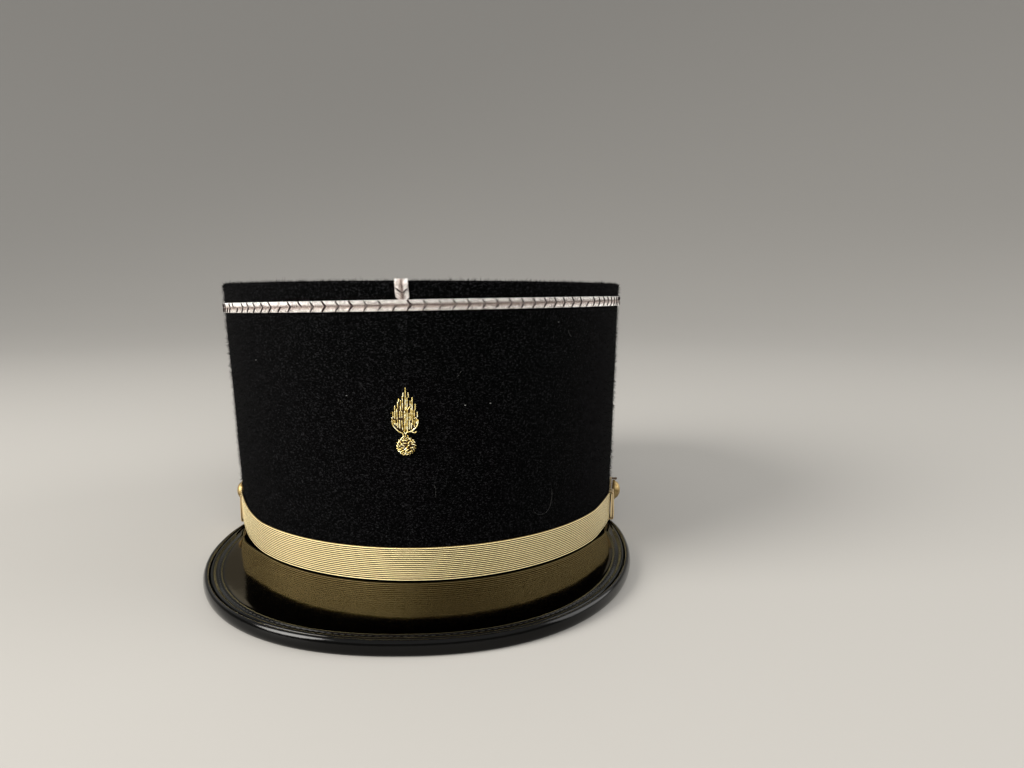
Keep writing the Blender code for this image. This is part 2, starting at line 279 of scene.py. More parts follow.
def angleAt(distance, reach):      # the angle this far round from the front, to the wearer's left if above 0
    away = min(abs(distance), reach[-1])
    low, high = 0, girthSteps
    while high - low > 1:
        half = (low + high) // 2
        low, high = (half, high) if reach[half] <= away else (low, half)
    share = (away - reach[low]) / (reach[high] - reach[low])
    return front + math.copysign(math.pi * (low + share) / girthSteps, distance)


def distanceTo(angle, reach):      # how far round from the front an angle on the wearer's left lies
    steps = (angle - front) / math.pi * girthSteps
    low = min(int(steps), girthSteps - 1)
    return reach[low] + (steps - low) * (reach[low + 1] - reach[low])


def stationAngle(station, mirror=1):      # a given distance ahead of the oval's middle, wearer's left if 1
    angle = -math.asin(station / crown["baseHalfLength"])
    return angle if mirror > 0 else -math.pi - angle


def crownSeat(angle, up, out):      # Z out of the wall and Y up along it
    step = 1 * mm
    along = onCrown(angle + step / crown["baseHalfWidth"], out, up) - onCrown(angle, out, up)
    upward = onCrown(angle, out, up + step) - onCrown(angle, out, up)
    zAxis = along.cross(upward).normalized()
    yAxis = upward.normalized()
    xAxis = yAxis.cross(zAxis)
    return Matrix.Translation(onCrown(angle, out, up)) @ Matrix((xAxis, yAxis, zAxis)).transposed().to_4x4()


# Round work is spun on a bench of this radius and height, and then laid on the crown
bench = {"radius": 100 * mm, "height": 105 * mm}


wall = {
    "thick": 2.5 * mm,
    "rimRound": 1.15 * mm,
    "rows": 52,
    "steps": 288,
    "ripple": 0.2 * mm,
    "rippleSize": 16 * mm,
    "seamWidth": 0.45 * mm,
    "seamDepth": 0.1 * mm,
    "seamReach": 0.1 * mm,         # what lies this near to the middle of the front is the seam's
}


def onSeam(co):
    return abs(co.x) < wall["seamReach"] and co.y < wall["seamReach"] / 2 - bench["radius"]


def makeCrownCloth(cloth):
    middle = (bench["radius"] - wall["thick"] / 2, 0, bench["height"] / 2)
    piece = addPrimitive(
        "crownCloth", bpy.ops.mesh.primitive_plane_add, size=1, rotation=(math.radians(90), 0, 0),
        location=middle, stretch=(wall["thick"], bench["height"], 1))
    edit(piece)
    pick(piece, "VERT", lambda v: v.co.z > middle[2])
    bpy.ops.mesh.bevel(offset=wall["rimRound"], segments=5, affect="VERTICES")
    pickAll("FACE")
    bpy.ops.mesh.delete(type="ONLY_FACE")
    pickRunning(piece, 2, middle[2])
    bpy.ops.mesh.subdivide(number_cuts=wall["rows"])
    pickAll()
    bpy.ops.transform.rotate(value=-front, orient_axis="Z", center_override=(0, 0, 0))
    bpy.ops.mesh.spin(steps=wall["steps"], angle=math.tau, center=(0, 0, 0), axis=skyward)
    done()
    closeUp(piece)
    # the seam up the middle of the front
    edit(piece)
    pick(piece, "EDGE", lambda e: all(onSeam(v.co) for v in e.verts))
    bpy.ops.mesh.bevel(offset=wall["seamWidth"], segments=2, affect="EDGES")
    pick(piece, "VERT", lambda v: onSeam(v.co))
    bpy.ops.transform.translate(value=(0, wall["seamDepth"], 0))
    done()

    def place(co):
        angle = math.atan2(co.y, co.x)
        out = math.hypot(co.x, co.y) - bench["radius"]
        height = co.z / bench["height"] * rimHeight(angle)
        ripple = wall["ripple"] * noise.noise(onCrown(angle, out, height) / wall["rippleSize"])
        return onCrown(angle, out + ripple, height)

    moveVerts(piece, place)
    closeUp(piece)
    return finishPiece(piece, cloth, ["crown_wall"])


top = {
    "sink": 3.0 * mm,
    "dish": 2.0 * mm,
    "thick": 2.2 * mm,
    "gap": 0.05 * mm,
    "turnUp": 1.2 * mm,            # its edge stands up this much against the wall
    "turnUpWidth": 2 * mm,
    "ripple": 0.5 * mm,
    "rippleSize": 22 * mm,
    "rings": 14,
    "ringed": 0.94,                # share of the radius that the rings take up
    "sides": 160,
}


def makeTopCloth(cloth):
    piece = addPrimitive(
        "topCloth", bpy.ops.mesh.primitive_circle_add, vertices=top["sides"], radius=bench["radius"],
        fill_type="NGON")
    edit(piece)
    pickAll("FACE")
    bpy.ops.mesh.inset(thickness=top["turnUpWidth"])
    for _ in range(top["rings"]):
        bpy.ops.mesh.inset(thickness=top["ringed"] * bench["radius"] / top["rings"])
    bpy.ops.mesh.poke()
    done()
    height = rimHeight(0) - top["sink"]
    middle = onCrown(0, 0, height).lerp(onCrown(math.pi, 0, height), 0.5)

    def sunk(co):
        share = math.hypot(co.x, co.y) / bench["radius"]
        angle = math.atan2(co.y, co.x)
        edge = onCrown(angle, -wall["thick"] - top["gap"], rimHeight(angle) - top["sink"])
        spot = middle.lerp(edge, share)
        rise = top["turnUp"] if share > 0.99 else 0      # only at its very edge
        ripple = top["ripple"] * noise.noise(spot / top["rippleSize"]) * (1 - share)
        spot.z += rise - top["dish"] * (1 - share ** 2) + ripple
        return spot

    moveVerts(piece, sunk)
    applyModifier(piece, "SOLIDIFY", thickness=top["thick"], offset=-1)
    return finishPiece(piece, cloth, ["crown_top"])


nap = {      # short fibres all over the cloth
    "perSquareMetre": 0.55e6,
    "length": 1.6 * mm,
    "thick": 0.07 * mm,
    "tilt": math.radians(58),
    "sizes": (0.4, 1.3),           # the shortest and the longest, as shares of the length
    "seed": 3,
    "facing": 0.4,                 # it grows where the cloth faces outwards or upwards at least this much
    "braidClear": 0.5 * mm,
    "footClear": 3 * mm,
}
fuzz = {      # shorter and closer, along the rim
    "perSquareMetre": 3.2e6,
    "length": 0.95 * mm,
    "thick": 0.06 * mm,
    "tilt": math.radians(50),
    "sizes": (0.4, 1.3),
    "seed": 3,
    "deep": 1.5 * mm,              # how far down from the rim
}


def coveredByLace(place):      # the nap is left out under the strap and under the braid
    angle, height = offCrown(place)
    edge = braidHeight(angle)
    underBraid = edge - braid["width"] - nap["braidClear"] < height < edge + nap["braidClear"]
    station = strap["endStation"]
    ahead = stationAngle(station, -1) < angle < stationAngle(station)
    return underBraid or (ahead and height < strap["foot"] + strap["width"])


def bareOfNap(face):
    middle = face.calc_center_median()
    flat = Vector((middle.x, middle.y - crown["middle"], 0)).normalized()
    facing = max(face.normal.dot(flat), face.normal.z)
    return facing <= nap["facing"] or middle.z < nap["footClear"] or coveredByLace(middle)


def farFromRim(face):
    angle, height = offCrown(face.calc_center_median())
    low = height < rimHeight(angle) - fuzz["deep"]
    underUpright = abs(angle - front) < uprightBraid["width"] / 2 / crown["rimHalfWidth"]
    return face.normal.z < -0.1 or low or underUpright


def putInOrder(piece):      # sorts corners and faces by place, so that the fibres fall alike in every run
    old = piece.data
    places = [[round(value, 7) for value in vertex.co] for vertex in old.vertices]
    order = sorted(range(len(places)), key=lambda index: places[index])
    rank = {index: place for place, index in enumerate(order)}
    faces = []
    for face in old.polygons:
        corners = [rank[index] for index in face.vertices]
        first = corners.index(min(corners))
        faces.append(corners[first:] + corners[:first])
    piece.data = bpy.data.meshes.new(piece.name)
    piece.data.from_pydata([old.vertices[index].co for index in order], [], sorted(faces))


def makeNap(name, hosts, cloth, growth, hidden):      # short fibres strewn over the faces that aren't hidden
    fibre = addPrimitive(
        "fibre", bpy.ops.mesh.primitive_cone_add, vertices=3, radius1=growth["thick"], depth=growth["length"],
        location=(0, 0, growth["length"] / 2))
    grounds = []
    for host in hosts:
        takeUp(host)
        bpy.ops.object.duplicate()
        ground = bpy.context.object
        grounds.append(ground)
        edit(ground)
        pick(ground, "FACE", hidden)
        bpy.ops.mesh.delete(type="FACE")
        done()
    piece = joinAll(grounds)
    piece.name = name
    putInOrder(piece)
    tree = bpy.data.node_groups.new(name, "GeometryNodeTree")
    tree.interface.new_socket("Geometry", in_out="INPUT", socket_type="NodeSocketGeometry")
    tree.interface.new_socket("Geometry", in_out="OUTPUT", socket_type="NodeSocketGeometry")
    start = tree.nodes.new("NodeGroupInput")
    end = tree.nodes.new("NodeGroupOutput")
    strew = tree.nodes.new("GeometryNodeDistributePointsOnFaces")
    strew.inputs["Density"].default_value = growth["perSquareMetre"]
    strew.inputs["Seed"].default_value = growth["seed"]
    model = tree.nodes.new("GeometryNodeObjectInfo")
    model.inputs["Object"].default_value = fibre
    turn = tree.nodes.new("FunctionNodeRandomValue")
    turn.data_type = "FLOAT_VECTOR"
    turn.inputs["Min"].default_value = (-growth["tilt"], -growth["tilt"], 0)
    turn.inputs["Max"].default_value = (growth["tilt"], growth["tilt"], math.tau)
    spin = tree.nodes.new("FunctionNodeRotateRotation")
    spin.rotation_space = "LOCAL"
    size = tree.nodes.new("FunctionNodeRandomValue")
    size.data_type = "FLOAT"
    size.inputs[2].default_value, size.inputs[3].default_value = growth["sizes"]
    put = tree.nodes.new("GeometryNodeInstanceOnPoints")
    real = tree.nodes.new("GeometryNodeRealizeInstances")
    link = tree.links.new
    link(start.outputs[0], strew.inputs["Mesh"])
    link(strew.outputs["Points"], put.inputs["Points"])
    link(model.outputs["Geometry"], put.inputs["Instance"])
    link(strew.outputs["Rotation"], spin.inputs["Rotation"])
    link(turn.outputs[0], spin.inputs["Rotate By"])
    link(spin.outputs[0], put.inputs["Rotation"])
    link(size.outputs[1], put.inputs["Scale"])
    link(put.outputs[0], real.inputs[0])
    link(real.outputs[0], end.inputs[0])
    applyModifier(piece, "NODES", node_group=tree)
    bpy.data.objects.remove(fibre)
    return finishPiece(piece, cloth, smooth=80)


braid = {
    "width": 3.8 * mm,
    "drop": 6.3 * mm,              # rim to the braid's upper edge, at front and back
    "slant": 1.35 * mm,            # the braid is this much nearer the rim at the left side
    "under": 0.08 * mm,
    "core": 0.42 * mm,
    "pitch": 5.0 * mm,             # from one dark chevron to the next
    "pairs": 6,
    "steepness": math.radians(48),
    "strand": 0.25 * mm,           # half the thickness of one twist of thread
    "flatness": 0.8,
    "sunk": 0.02 * mm,             # how far the twists sink into the core
    "overEdge": 0.4 * mm,          # the twists run this far past both edges before they are cut
    "coreIn": 0.35 * mm,           # the core is this much narrower
    "groove": 0.54,                # share of the width below the groove between the two lobes
}
tracer = {      # the dark threads between the twists
    "thick": 0.29 * mm,
    "out": 0.76 * mm,
    "skipUpper": 0.08,             # share of the threads that have sunk out of sight
    "skipLower": 0.04,
    "waver": 0.03,                 # how far from its place one may lie, as a share of the pitch
}


def braidHeight(angle):
    return rimHeight(angle) - braid["drop"] + braid["slant"] * math.cos(angle)


def addThread(name, place, rises, stretch, sides, rings):      # a thread that slants across the braid
    slant = braid["steepness"] if rises else -braid["steepness"]
    return addPrimitive(
        name, bpy.ops.mesh.primitive_uv_sphere_add, segments=sides, ring_count=rings, radius=1,
        location=place, rotation=(0, math.radians(90) - slant, 0), stretch=stretch)


def addTwist(name, x, low, high, rises, thick):      # one silver twist, from one edge to the groove
    length = (high - low) / math.sin(braid["steepness"]) + thick
    out = braid["under"] + braid["core"] - braid["sunk"]
    stretch = (thick, thick * braid["flatness"], length / 2)
    return addThread(name, (x, -out, (low + high) / 2), rises, stretch, 8, 6)


def addTracer(name, x, low, high, rises, out):      # one dark thread, from one edge to the groove
    length = (high - low) / math.sin(braid["steepness"])
    thick = tracer["thick"]
    return addThread(name, (x, -out, (low + high) / 2), rises, (thick, thick, length / 2), 6, 5)


def makeStrands(name, width, thick, count):      # so many repeats of the braid, pointing along +X
    split = width * braid["groove"]
    pieces = []
    for i in range(braid["pairs"]):
        x = braid["pitch"] * (i + 0.5) / braid["pairs"]
        pieces.append(addTwist(name, x, -braid["overEdge"], split, True, thick))
        pieces.append(addTwist(name, x, split, width + braid["overEdge"], False, thick))
    piece = joinAll(pieces)
    edit(piece)
    for level, above in ((0, False), (width, True)):      # cuts the twists off straight at both edges
        pickAll()
        bpy.ops.mesh.bisect(
            plane_co=(0, 0, level), plane_no=skyward, use_fill=True, clear_inner=not above, clear_outer=above)
    done()
    applyModifier(
        piece, "ARRAY", count=count, use_relative_offset=False, use_constant_offset=True,
        constant_offset_displace=(braid["pitch"], 0, 0))
    mapFlat(piece, lambda co: (co.x / braid["pitch"], co.z / width))
    return piece


# the core shows only through the gaps between the twists; its dark colour is painted shade for those gaps
def makeBraidCore(name, length, width, cuts):
    piece = addPrimitive(
        name, bpy.ops.mesh.primitive_cube_add, size=1,
        location=(length / 2, -braid["under"] - braid["core"] / 2, width / 2),
        stretch=(length, braid["core"], width - braid["coreIn"]))
    edit(piece)
    pickRunning(piece, 0, 1 * mm)
    bpy.ops.mesh.subdivide(number_cuts=cuts)
    done()
    return piece


def makeBraidRing(silver, brown):
    reach = measureGirth(rimHeight(0) - braid["drop"])
    girth = 2 * reach[-1]
    count = round(girth / braid["pitch"])
    length = count * braid["pitch"]
    strands = makeStrands("braidRing", braid["width"], braid["strand"], count)
    core = makeBraidCore("braidCore", length, braid["width"], 2 * count)
    edit(core)
    pick(core, "FACE", lambda f: abs(f.normal.x) > 0.9)
    bpy.ops.mesh.delete(type="ONLY_FACE")
    done()

    def lay(co):
        angle = angleAt((co.x - length / 2) * girth / length, reach)
        return onCrown(angle, -co.y, braidHeight(angle) - braid["width"] + co.z)

    for item in (strands, core):
        moveVerts(item, lay)
        closeUp(item)
    finishPiece(strands, silver, ["top_braid"])
    finishPiece(core, brown)
    return lay, count


def makeBraidTracer(lay, count, dark):
    split = braid["width"] * braid["groove"]
    halves = ((0, split, True, tracer["skipLower"]), (split, braid["width"], False, tracer["skipUpper"]))
    pieces = []
    for i in range(count):
        x = braid["pitch"] * (i + dice.uniform(-tracer["waver"], tracer["waver"]))
        for low, high, rises, skip in halves:
            if dice.random() < skip:
                continue
            pieces.append(addTracer("braidTracer", x, low, high, rises, tracer["out"]))
    piece = joinAll(pieces)
    moveVerts(piece, lay)
    closeUp(piece)
    return finishPiece(piece, dark)


uprightBraid = {
    "width": 4.6 * mm,
    "aside": -0.3 * mm,            # towards the wearer's left
    "leanAside": 0.35 * mm,        # its upper end stands this much to the other side
    "units": 3,
    "strand": 0.2625 * mm,
    "coreCuts": 40,
    "mark": 3.1 * mm,              # from its foot to its one dark chevron
    "markOut": 0.82 * mm,
}


def makeBraidUpright(silver, brown, dark):
    width = uprightBraid["width"]
    length = uprightBraid["units"] * braid["pitch"]
    strands = makeStrands("braidUpright", width, uprightBraid["strand"], uprightBraid["units"])
    core = makeBraidCore("uprightCore", length, width, uprightBraid["coreCuts"])
    split = width * braid["groove"]
    marks = []
    for low, high, rises in ((0, split, True), (split, width, False)):
        marks.append(addTracer(
            "uprightTracer", length - uprightBraid["mark"], low, high, rises, uprightBraid["markOut"]))
    mark = joinAll(marks)
    rimTop = rimHeight(front)
    half = wall["thick"] / 2
    straight = braid["drop"] - half

    def lay(co):      # X runs down from the far end inside the rim, so that the chevron points down
        away = length - co.x
        out = -co.y
        bend = (away - straight) / half
        if bend < 0:
            across = out
            height = rimTop - braid["drop"] + away
        elif bend < math.pi:
            across = (half + out) * math.cos(bend) - half
            height = rimTop - half + (half + out) * math.sin(bend)
        else:
            across = -wall["thick"] - out
            height = rimTop - half - (bend - math.pi) * half
        tilt = uprightBraid["leanAside"] * min(away / straight, 1)
        aside = width / 2 - co.z + uprightBraid["aside"] + tilt
        return onCrown(front - aside / crown["rimHalfWidth"], across, height)

    for item in (strands, core, mark):
        moveVerts(item, lay)
        closeUp(item)
    finishPiece(strands, silver, ["front_braid"])
    finishPiece(core, brown)
    finishPiece(mark, dark)


strap = {
    "foot": 1.0 * mm,
    "width": 12.7 * mm,
    "under": 0.3 * mm,             # between the lace's back and the crown
    "backing": 0.25 * mm,
    "endStation": 20.6 * mm,
    "hump": 1.0 * mm,              # it rises this much on its way to the keepers
    "endWidth": 11.9 * mm,         # where the keepers hold it together
    "ribs": 17,
    "perRib": 5,
    "ribDepth": 0.36 * mm,
    "border": 0.15 * mm,           # the lowest rib stands out this much more
    "topEdge": 0.26,               # share of the top rib that is kept free of the painted shade between ribs
    "bottomEdge": 0.4,             # and of the lowest one
    "wander": 0.03 * mm,           # how far the ribs stray up and down
    "wanderSize": 9 * mm,
    "held": (5 * mm, 12 * mm),     # from its end, over which the keeper's hold lets go
    "heldDown": 0.75,              # share of the hump that the keeper holds down
    "humpEnd": (20 * mm, 38 * mm),
    "rightRise": 2.6 * mm,         # it rises this much more on its way to the wearer's right keeper
    "rightWiden": 0.07,
    "rightFrom": (4 * mm, 14 * mm),
    "rightTo": (22 * mm, 56 * mm),
    "columns": 220,
}


def brightEdge(share, ribs, first, last):      # keeps the painted shade between two ribs off the lace's edges
    return min(max(share, first), ribs - last)


def makeLaceStrap(lace):
    reach = measureGirth(strap["foot"] + strap["width"] / 2)
    length = 2 * distanceTo(stationAngle(strap["endStation"]), reach)
    width, ribs = strap["width"], strap["ribs"]
    piece = addSheet("laceStrap", length, width, strap["columns"], ribs * strap["perRib"])

    def ribbed(co):
        share = co.z / width * ribs
        depth = strap["ribDepth"] + (strap["border"] if share < 1 else 0)
        wander = strap["wander"] * noise.noise(Vector((co.x / strap["wanderSize"], share, 0)))
        return Vector((co.x, -depth * halfRound(share % 1), co.z + wander))

    mapFlat(piece, lambda co: (
        co.x / mm, brightEdge(co.z / width * ribs, ribs, strap["bottomEdge"], strap["topEdge"])))
    moveVerts(piece, ribbed)
    applyModifier(piece, "SOLIDIFY", thickness=strap["backing"], offset=-1)

    def lay(co):
        fromEnd = length / 2 - abs(co.x)
        held = 1 - easeUp(*strap["held"], fromEnd)
        middle = strap["foot"] + width / 2
        middle += strap["hump"] * (1 - easeUp(*strap["humpEnd"], fromEnd)) * (1 - strap["heldDown"] * held)
        squeeze = 1 + (strap["endWidth"] / width - 1) * held
        if co.x < 0:
            near = easeUp(*strap["rightFrom"], fromEnd) * (1 - easeUp(*strap["rightTo"], fromEnd))
            middle += strap["rightRise"] * near
            squeeze += strap["rightWiden"] * near
        out = strap["under"] + strap["backing"] - co.y
        return onCrown(angleAt(co.x, reach), out, middle + (co.z - width / 2) * squeeze)

    moveVerts(piece, lay)
    return finishPiece(piece, lace, ["chin_strap"], smooth=70)


keeper = {
    "stations": (20.4 * mm, 26.4 * mm),
    "outer": 2.62 * mm,
    "low": 0.95 * mm,
    "rightLower": 0.6 * mm,        # the wearer's right one hangs this much lower
    "lean": 0.3 * mm,              # its foot stands out and its upper end stands in, by this much
    "high": 14.1 * mm,
    "inner": 0.3 * mm,             # where its two ends meet the cloth
    "corner": 0.9 * mm,
    "cornerIn": 0.2 * mm,
    "thick": 0.55 * mm,
    "padding": 0.85 * mm,          # between the lace and the strap
    "padRoom": 0.4 * mm,
    "padOut": 0.1 * mm,
    "padRound": 0.25 * mm,
    "ribs": 8,
    "perRib": 5,
    "ribDepth": 0.25 * mm,
    "edge": 0.3,                   # share of the outer ribs that is kept free of the painted shade between ribs
    "around": 17,                  # its length in millimetres, for the lace's windings
    "rows": 48,
}


def makeLaceKeeper(side, mirror, lace):
    reach = measureGirth(strap["foot"] + strap["width"] / 2)
    near, far = (distanceTo(stationAngle(station), reach) for station in keeper["stations"])
    centre, width = (near + far) / 2, abs(far - near)
    ribs, edge = keeper["ribs"], keeper["edge"]
    low, high, outer = keeper["low"], keeper["high"], keeper["outer"]
    if mirror < 0:
        low -= keeper["rightLower"]
        high -= 2 * keeper["rightLower"]
    lower, upper = outer + keeper["lean"], outer - keeper["lean"]
    inner, corner, cornerIn = keeper["inner"], keeper["corner"], keeper["cornerIn"]
    path = roundedPath([
        (inner, low), (lower - cornerIn, low), (lower, low + corner), (upper, high - corner),
        (upper - cornerIn, high), (inner, high)])
    piece = addSheet(f"laceKeeper{side}", width, 1, ribs * keeper["perRib"], keeper["rows"])
    mapFlat(piece, lambda co: (
        co.z * keeper["around"], brightEdge((co.x / width + 0.5) * ribs, ribs, edge, edge)))

    def lay(co):
        share = (co.x / width + 0.5) * ribs
        rise = keeper["ribDepth"] * (halfRound(share % 1) - 1)
        spot = alongPath(path, co.z)
        away = wayAlong(path, co.z, 0.01)
        angle = angleAt(mirror * (centre + co.x), reach)
        return onCrown(angle, spot.x + rise * away.y, spot.y - rise * away.x)

    moveVerts(piece, lay)
    faceTowards(piece, crownSeat(angleAt(mirror * centre, reach), strap["foot"], 0).to_3x3() @ skyward)
    applyModifier(piece, "SOLIDIFY", thickness=keeper["thick"], offset=-1)
    room, padding = keeper["padRoom"], keeper["padding"]
    out = outer - keeper["thick"] - padding / 2 + keeper["padOut"]
    pad = addPrimitive(
        "keeperPad", bpy.ops.mesh.primitive_cube_add, size=1, location=(0, -out, (low + high) / 2),
        stretch=(width - room, padding, high - low - 2 * keeper["thick"] - 2 * room))
    edit(pad)
    pickAll("EDGE")
    bpy.ops.mesh.bevel(offset=keeper["padRound"], segments=2, affect="EDGES")
    pickAll("FACE")
    bpy.ops.mesh.subdivide(number_cuts=2)
    done()
    mapFlat(pad, lambda co: (co.z / mm, 0.5))
    moveVerts(pad, lambda co: onCrown(angleAt(mirror * (centre + co.x), reach), -co.y, co.z))
    closeUp(pad)
    piece = joinAll([piece, pad])
    return finishPiece(piece, lace, [f"strap_keeper_{side.lower()}"], smooth=70)


button = {
    "station": 14 * mm,
    "height": 11.9 * mm,
    "radius": 4.6 * mm,
    "rise": 3.6 * mm,
    "foot": 1.5 * mm,              # out from the wall, on top of the lace tab
    "dome": (0.86, 0.3),           # where the dome ends, as shares of radius and rise
    "domeSteps": 10,
    "domeStep": 8,                 # degrees from one of its points to the next
    "lip": ((0.88, 0.33), (0.93, 0.38), (0.98, 0.34), (1, 0.24), (0.985, 0.12), (0.93, 0.02), (0, 0)),
    "steps": 56,
}
tab = {      # the round lace end under a button
    "radius": 5.8 * mm,
    "thick": 0.5 * mm,
    "under": 0.3 * mm,
    "round": 0.15 * mm,
    "sides": 48,
    "ribs": 15,
    "ribRise": 0.38 * mm,
    "ribIn": 0.1 * mm,             # the ribs end this far inside its edge
}


def buttonSeat(mirror, out):
    return crownSeat(stationAngle(button["station"], mirror), button["height"], out)


def drawLine(name, points):      # a line of vertices, drawn from the first point by extruding
    piece = addPrimitive(name, bpy.ops.mesh.primitive_plane_add, size=1 * mm)
    edit(piece)
    pickAll()
    bpy.ops.mesh.merge(type="CENTER")
    bpy.ops.transform.translate(value=points[0])
    for a, b in zip(points, points[1:]):
        bpy.ops.mesh.extrude_vertices_move(TRANSFORM_OT_translate={"value": Vector(b) - Vector(a)})
    done()
    return piece


def makeSideButton(side, mirror, gilt):
    radius, rise = button["radius"], button["rise"]
    domeWidth, domeFoot = button["dome"]
    profile = [(0, 0, rise)]
    for i in range(1, button["domeSteps"] + 1):
        turn = math.radians(90 - button["domeStep"] * i)
        height = domeFoot + (1 - domeFoot) * math.sin(turn)
        profile.append((radius * domeWidth * math.cos(turn), 0, rise * height))
    profile += [(radius * across, 0, rise * height) for across, height in button["lip"]]
    piece = drawLine(f"sideButton{side}", profile)
    edit(piece)
    pickAll()
    bpy.ops.mesh.spin(steps=button["steps"], angle=math.tau, center=(0, 0, 0), axis=skyward)
    done()
    closeUp(piece)
    setInPlace(piece, buttonSeat(mirror, button["foot"]))
    return finishPiece(piece, gilt, [f"side_button_{side.lower()}"])


def makeLaceTab(side, mirror, lace):
    radius, ribs, thick = tab["radius"], tab["ribs"], tab["thick"]
    disc = addPrimitive(
        f"laceTab{side}", bpy.ops.mesh.primitive_cylinder_add, vertices=tab["sides"], radius=radius,
        depth=thick, location=(0, 0, thick / 2))
    edit(disc)
    pick(disc, "EDGE", lambda e: all(v.co.z > thick * 0.8 for v in e.verts))
    bpy.ops.mesh.bevel(offset=tab["round"], segments=2, affect="EDGES")
    done()
    pieces = [disc]
    pitch = 2 * radius / ribs
    for i in range(ribs):
        y = pitch * (i + 0.5) - radius
        half = math.sqrt(radius ** 2 - y ** 2) - tab["ribIn"]
        pieces.append(addPrimitive(
            "tabRib", bpy.ops.mesh.primitive_uv_sphere_add, segments=8, ring_count=8, radius=1,
            location=(0, y, thick), rotation=(0, math.radians(90), 0),
            stretch=(tab["ribRise"], pitch / 2, half)))
    piece = joinAll(pieces)
    setInPlace(piece, buttonSeat(mirror, tab["under"]))
    return finishPiece(piece, lace, [f"button_tab_{side.lower()}"])


prong = {
    "rise": 5.4 * mm,              # above the button's middle
    "head": 0.6 * mm,
    "stalk": 0.42 * mm,
    "reach": 2.7 * mm,
}


def makeProng(dark):      # the small dark fastening above the left button
    rise, reach = prong["rise"], prong["reach"]
    stalk = addPrimitive(
        "tabProng", bpy.ops.mesh.primitive_cylinder_add, vertices=12, radius=prong["stalk"], depth=reach,
        location=(0, rise, reach / 2))
    head = addPrimitive(
        "prongHead", bpy.ops.mesh.primitive_uv_sphere_add, segments=16, ring_count=10, radius=prong["head"],
        location=(0, rise, reach))
    piece = joinAll([stalk, head])
    setInPlace(piece, buttonSeat(1, tab["under"]))
    return finishPiece(piece, dark)


peak = {
    "halfWidth": 83.75 * mm,
    "middle": 52.4 * mm,           # its widest line, ahead of the oval's middle
    "reach": 98.9 * mm,
    "squareness": 2.23,            # 2 is an ellipse, and more is squarer
    "aside": 1.1 * mm,             # towards the wearer's left
    "fuller": 0.8 * mm,            # the horn on the wearer's left stands out this much more
    "fullerTurns": (math.radians(-10), math.radians(45)),      # all of it up to the first, none past the last
    "endStations": (24.0 * mm, 31.0 * mm),
    "thick": 1.9 * mm,
    "rise": 0.65 * mm,             # where it meets the crown's foot
    "gap": 0.05 * mm,
    "edgeStart": 2.7,              # the edging's first inset in millimetres, next to the binding
    "edgeRoom": 8.6 * mm,          # with less room than this, at the horns, the edging is squeezed
    "edgeTurn": 0.6,               # how far the edging keeps to the outline, against the crown's side
    "leastRoom": 0.05 * mm,
    "columns": 240,
    "fieldRows": 16,
}
binding = {
    "halfWidth": 1.35 * mm,
    "halfHeight": 2.65 * mm,
    "endHalfWidth": 1.05 * mm,
    "endHalfHeight": 1.25 * mm,
    "endStation": 20.0 * mm,
    "taper": math.radians(32),
    "steps": 99,                   # then each is cut in two more places
    "sides": 36,
}
edging = [      # the peak's edge, from the binding inwards: inset from the outline and height, in millimetres
    (2.75, 3.3), (2.68, 3.95), (2.62, 4.45), (2.78, 4.82), (3.2, 5.0), (3.7, 4.96), (4.2, 4.68), (4.55, 4.38),
    (5.0, 4.25), (5.2, 4.36), (5.65, 4.42), (6.05, 4.4), (6.15, 4.52), (6.35, 4.64), (6.6, 4.62), (6.8, 4.5),
    (7.1, 4.36), (7.5, 4.3), (8.2, 4.36),
]


def peakOutline(turn):      # 0 at the wearer's left and 90 degrees at the tip
    power = 2 / peak["squareness"]
    across = math.copysign(abs(math.cos(turn)) ** power, math.cos(turn))
    forward = math.copysign(abs(math.sin(turn)) ** power, math.sin(turn))
    fuller = peak["fuller"] * (1 - easeUp(*peak["fullerTurns"], turn))
    x = peak["aside"] + peak["halfWidth"] * across + fuller
    return Vector((x, crown["middle"] - peak["middle"] - peak["reach"] * forward, 0))


def outlineTurn(station):      # where the outline comes this far ahead of the oval's middle
    return -math.asin(((peak["middle"] - station) / peak["reach"]) ** (peak["squareness"] / 2))


def bindingSize(turn):
    pastEnd = min(turn, math.pi - turn) - outlineTurn(binding["endStation"])
    share = math.sin(min(max(pastEnd / binding["taper"], 0), 1) * math.pi / 2)
    halfWidth = binding["endHalfWidth"] + (binding["halfWidth"] - binding["endHalfWidth"]) * share
    halfHeight = binding["endHalfHeight"] + (binding["halfHeight"] - binding["endHalfHeight"]) * share
    return halfWidth, halfHeight


def insetOutline(turn, inset):
    step = math.radians(0.2)
    along = peakOutline(turn + step) - peakOutline(turn - step)
    inward = skyward.cross(along).normalized()
    return peakOutline(turn) - inward * inset


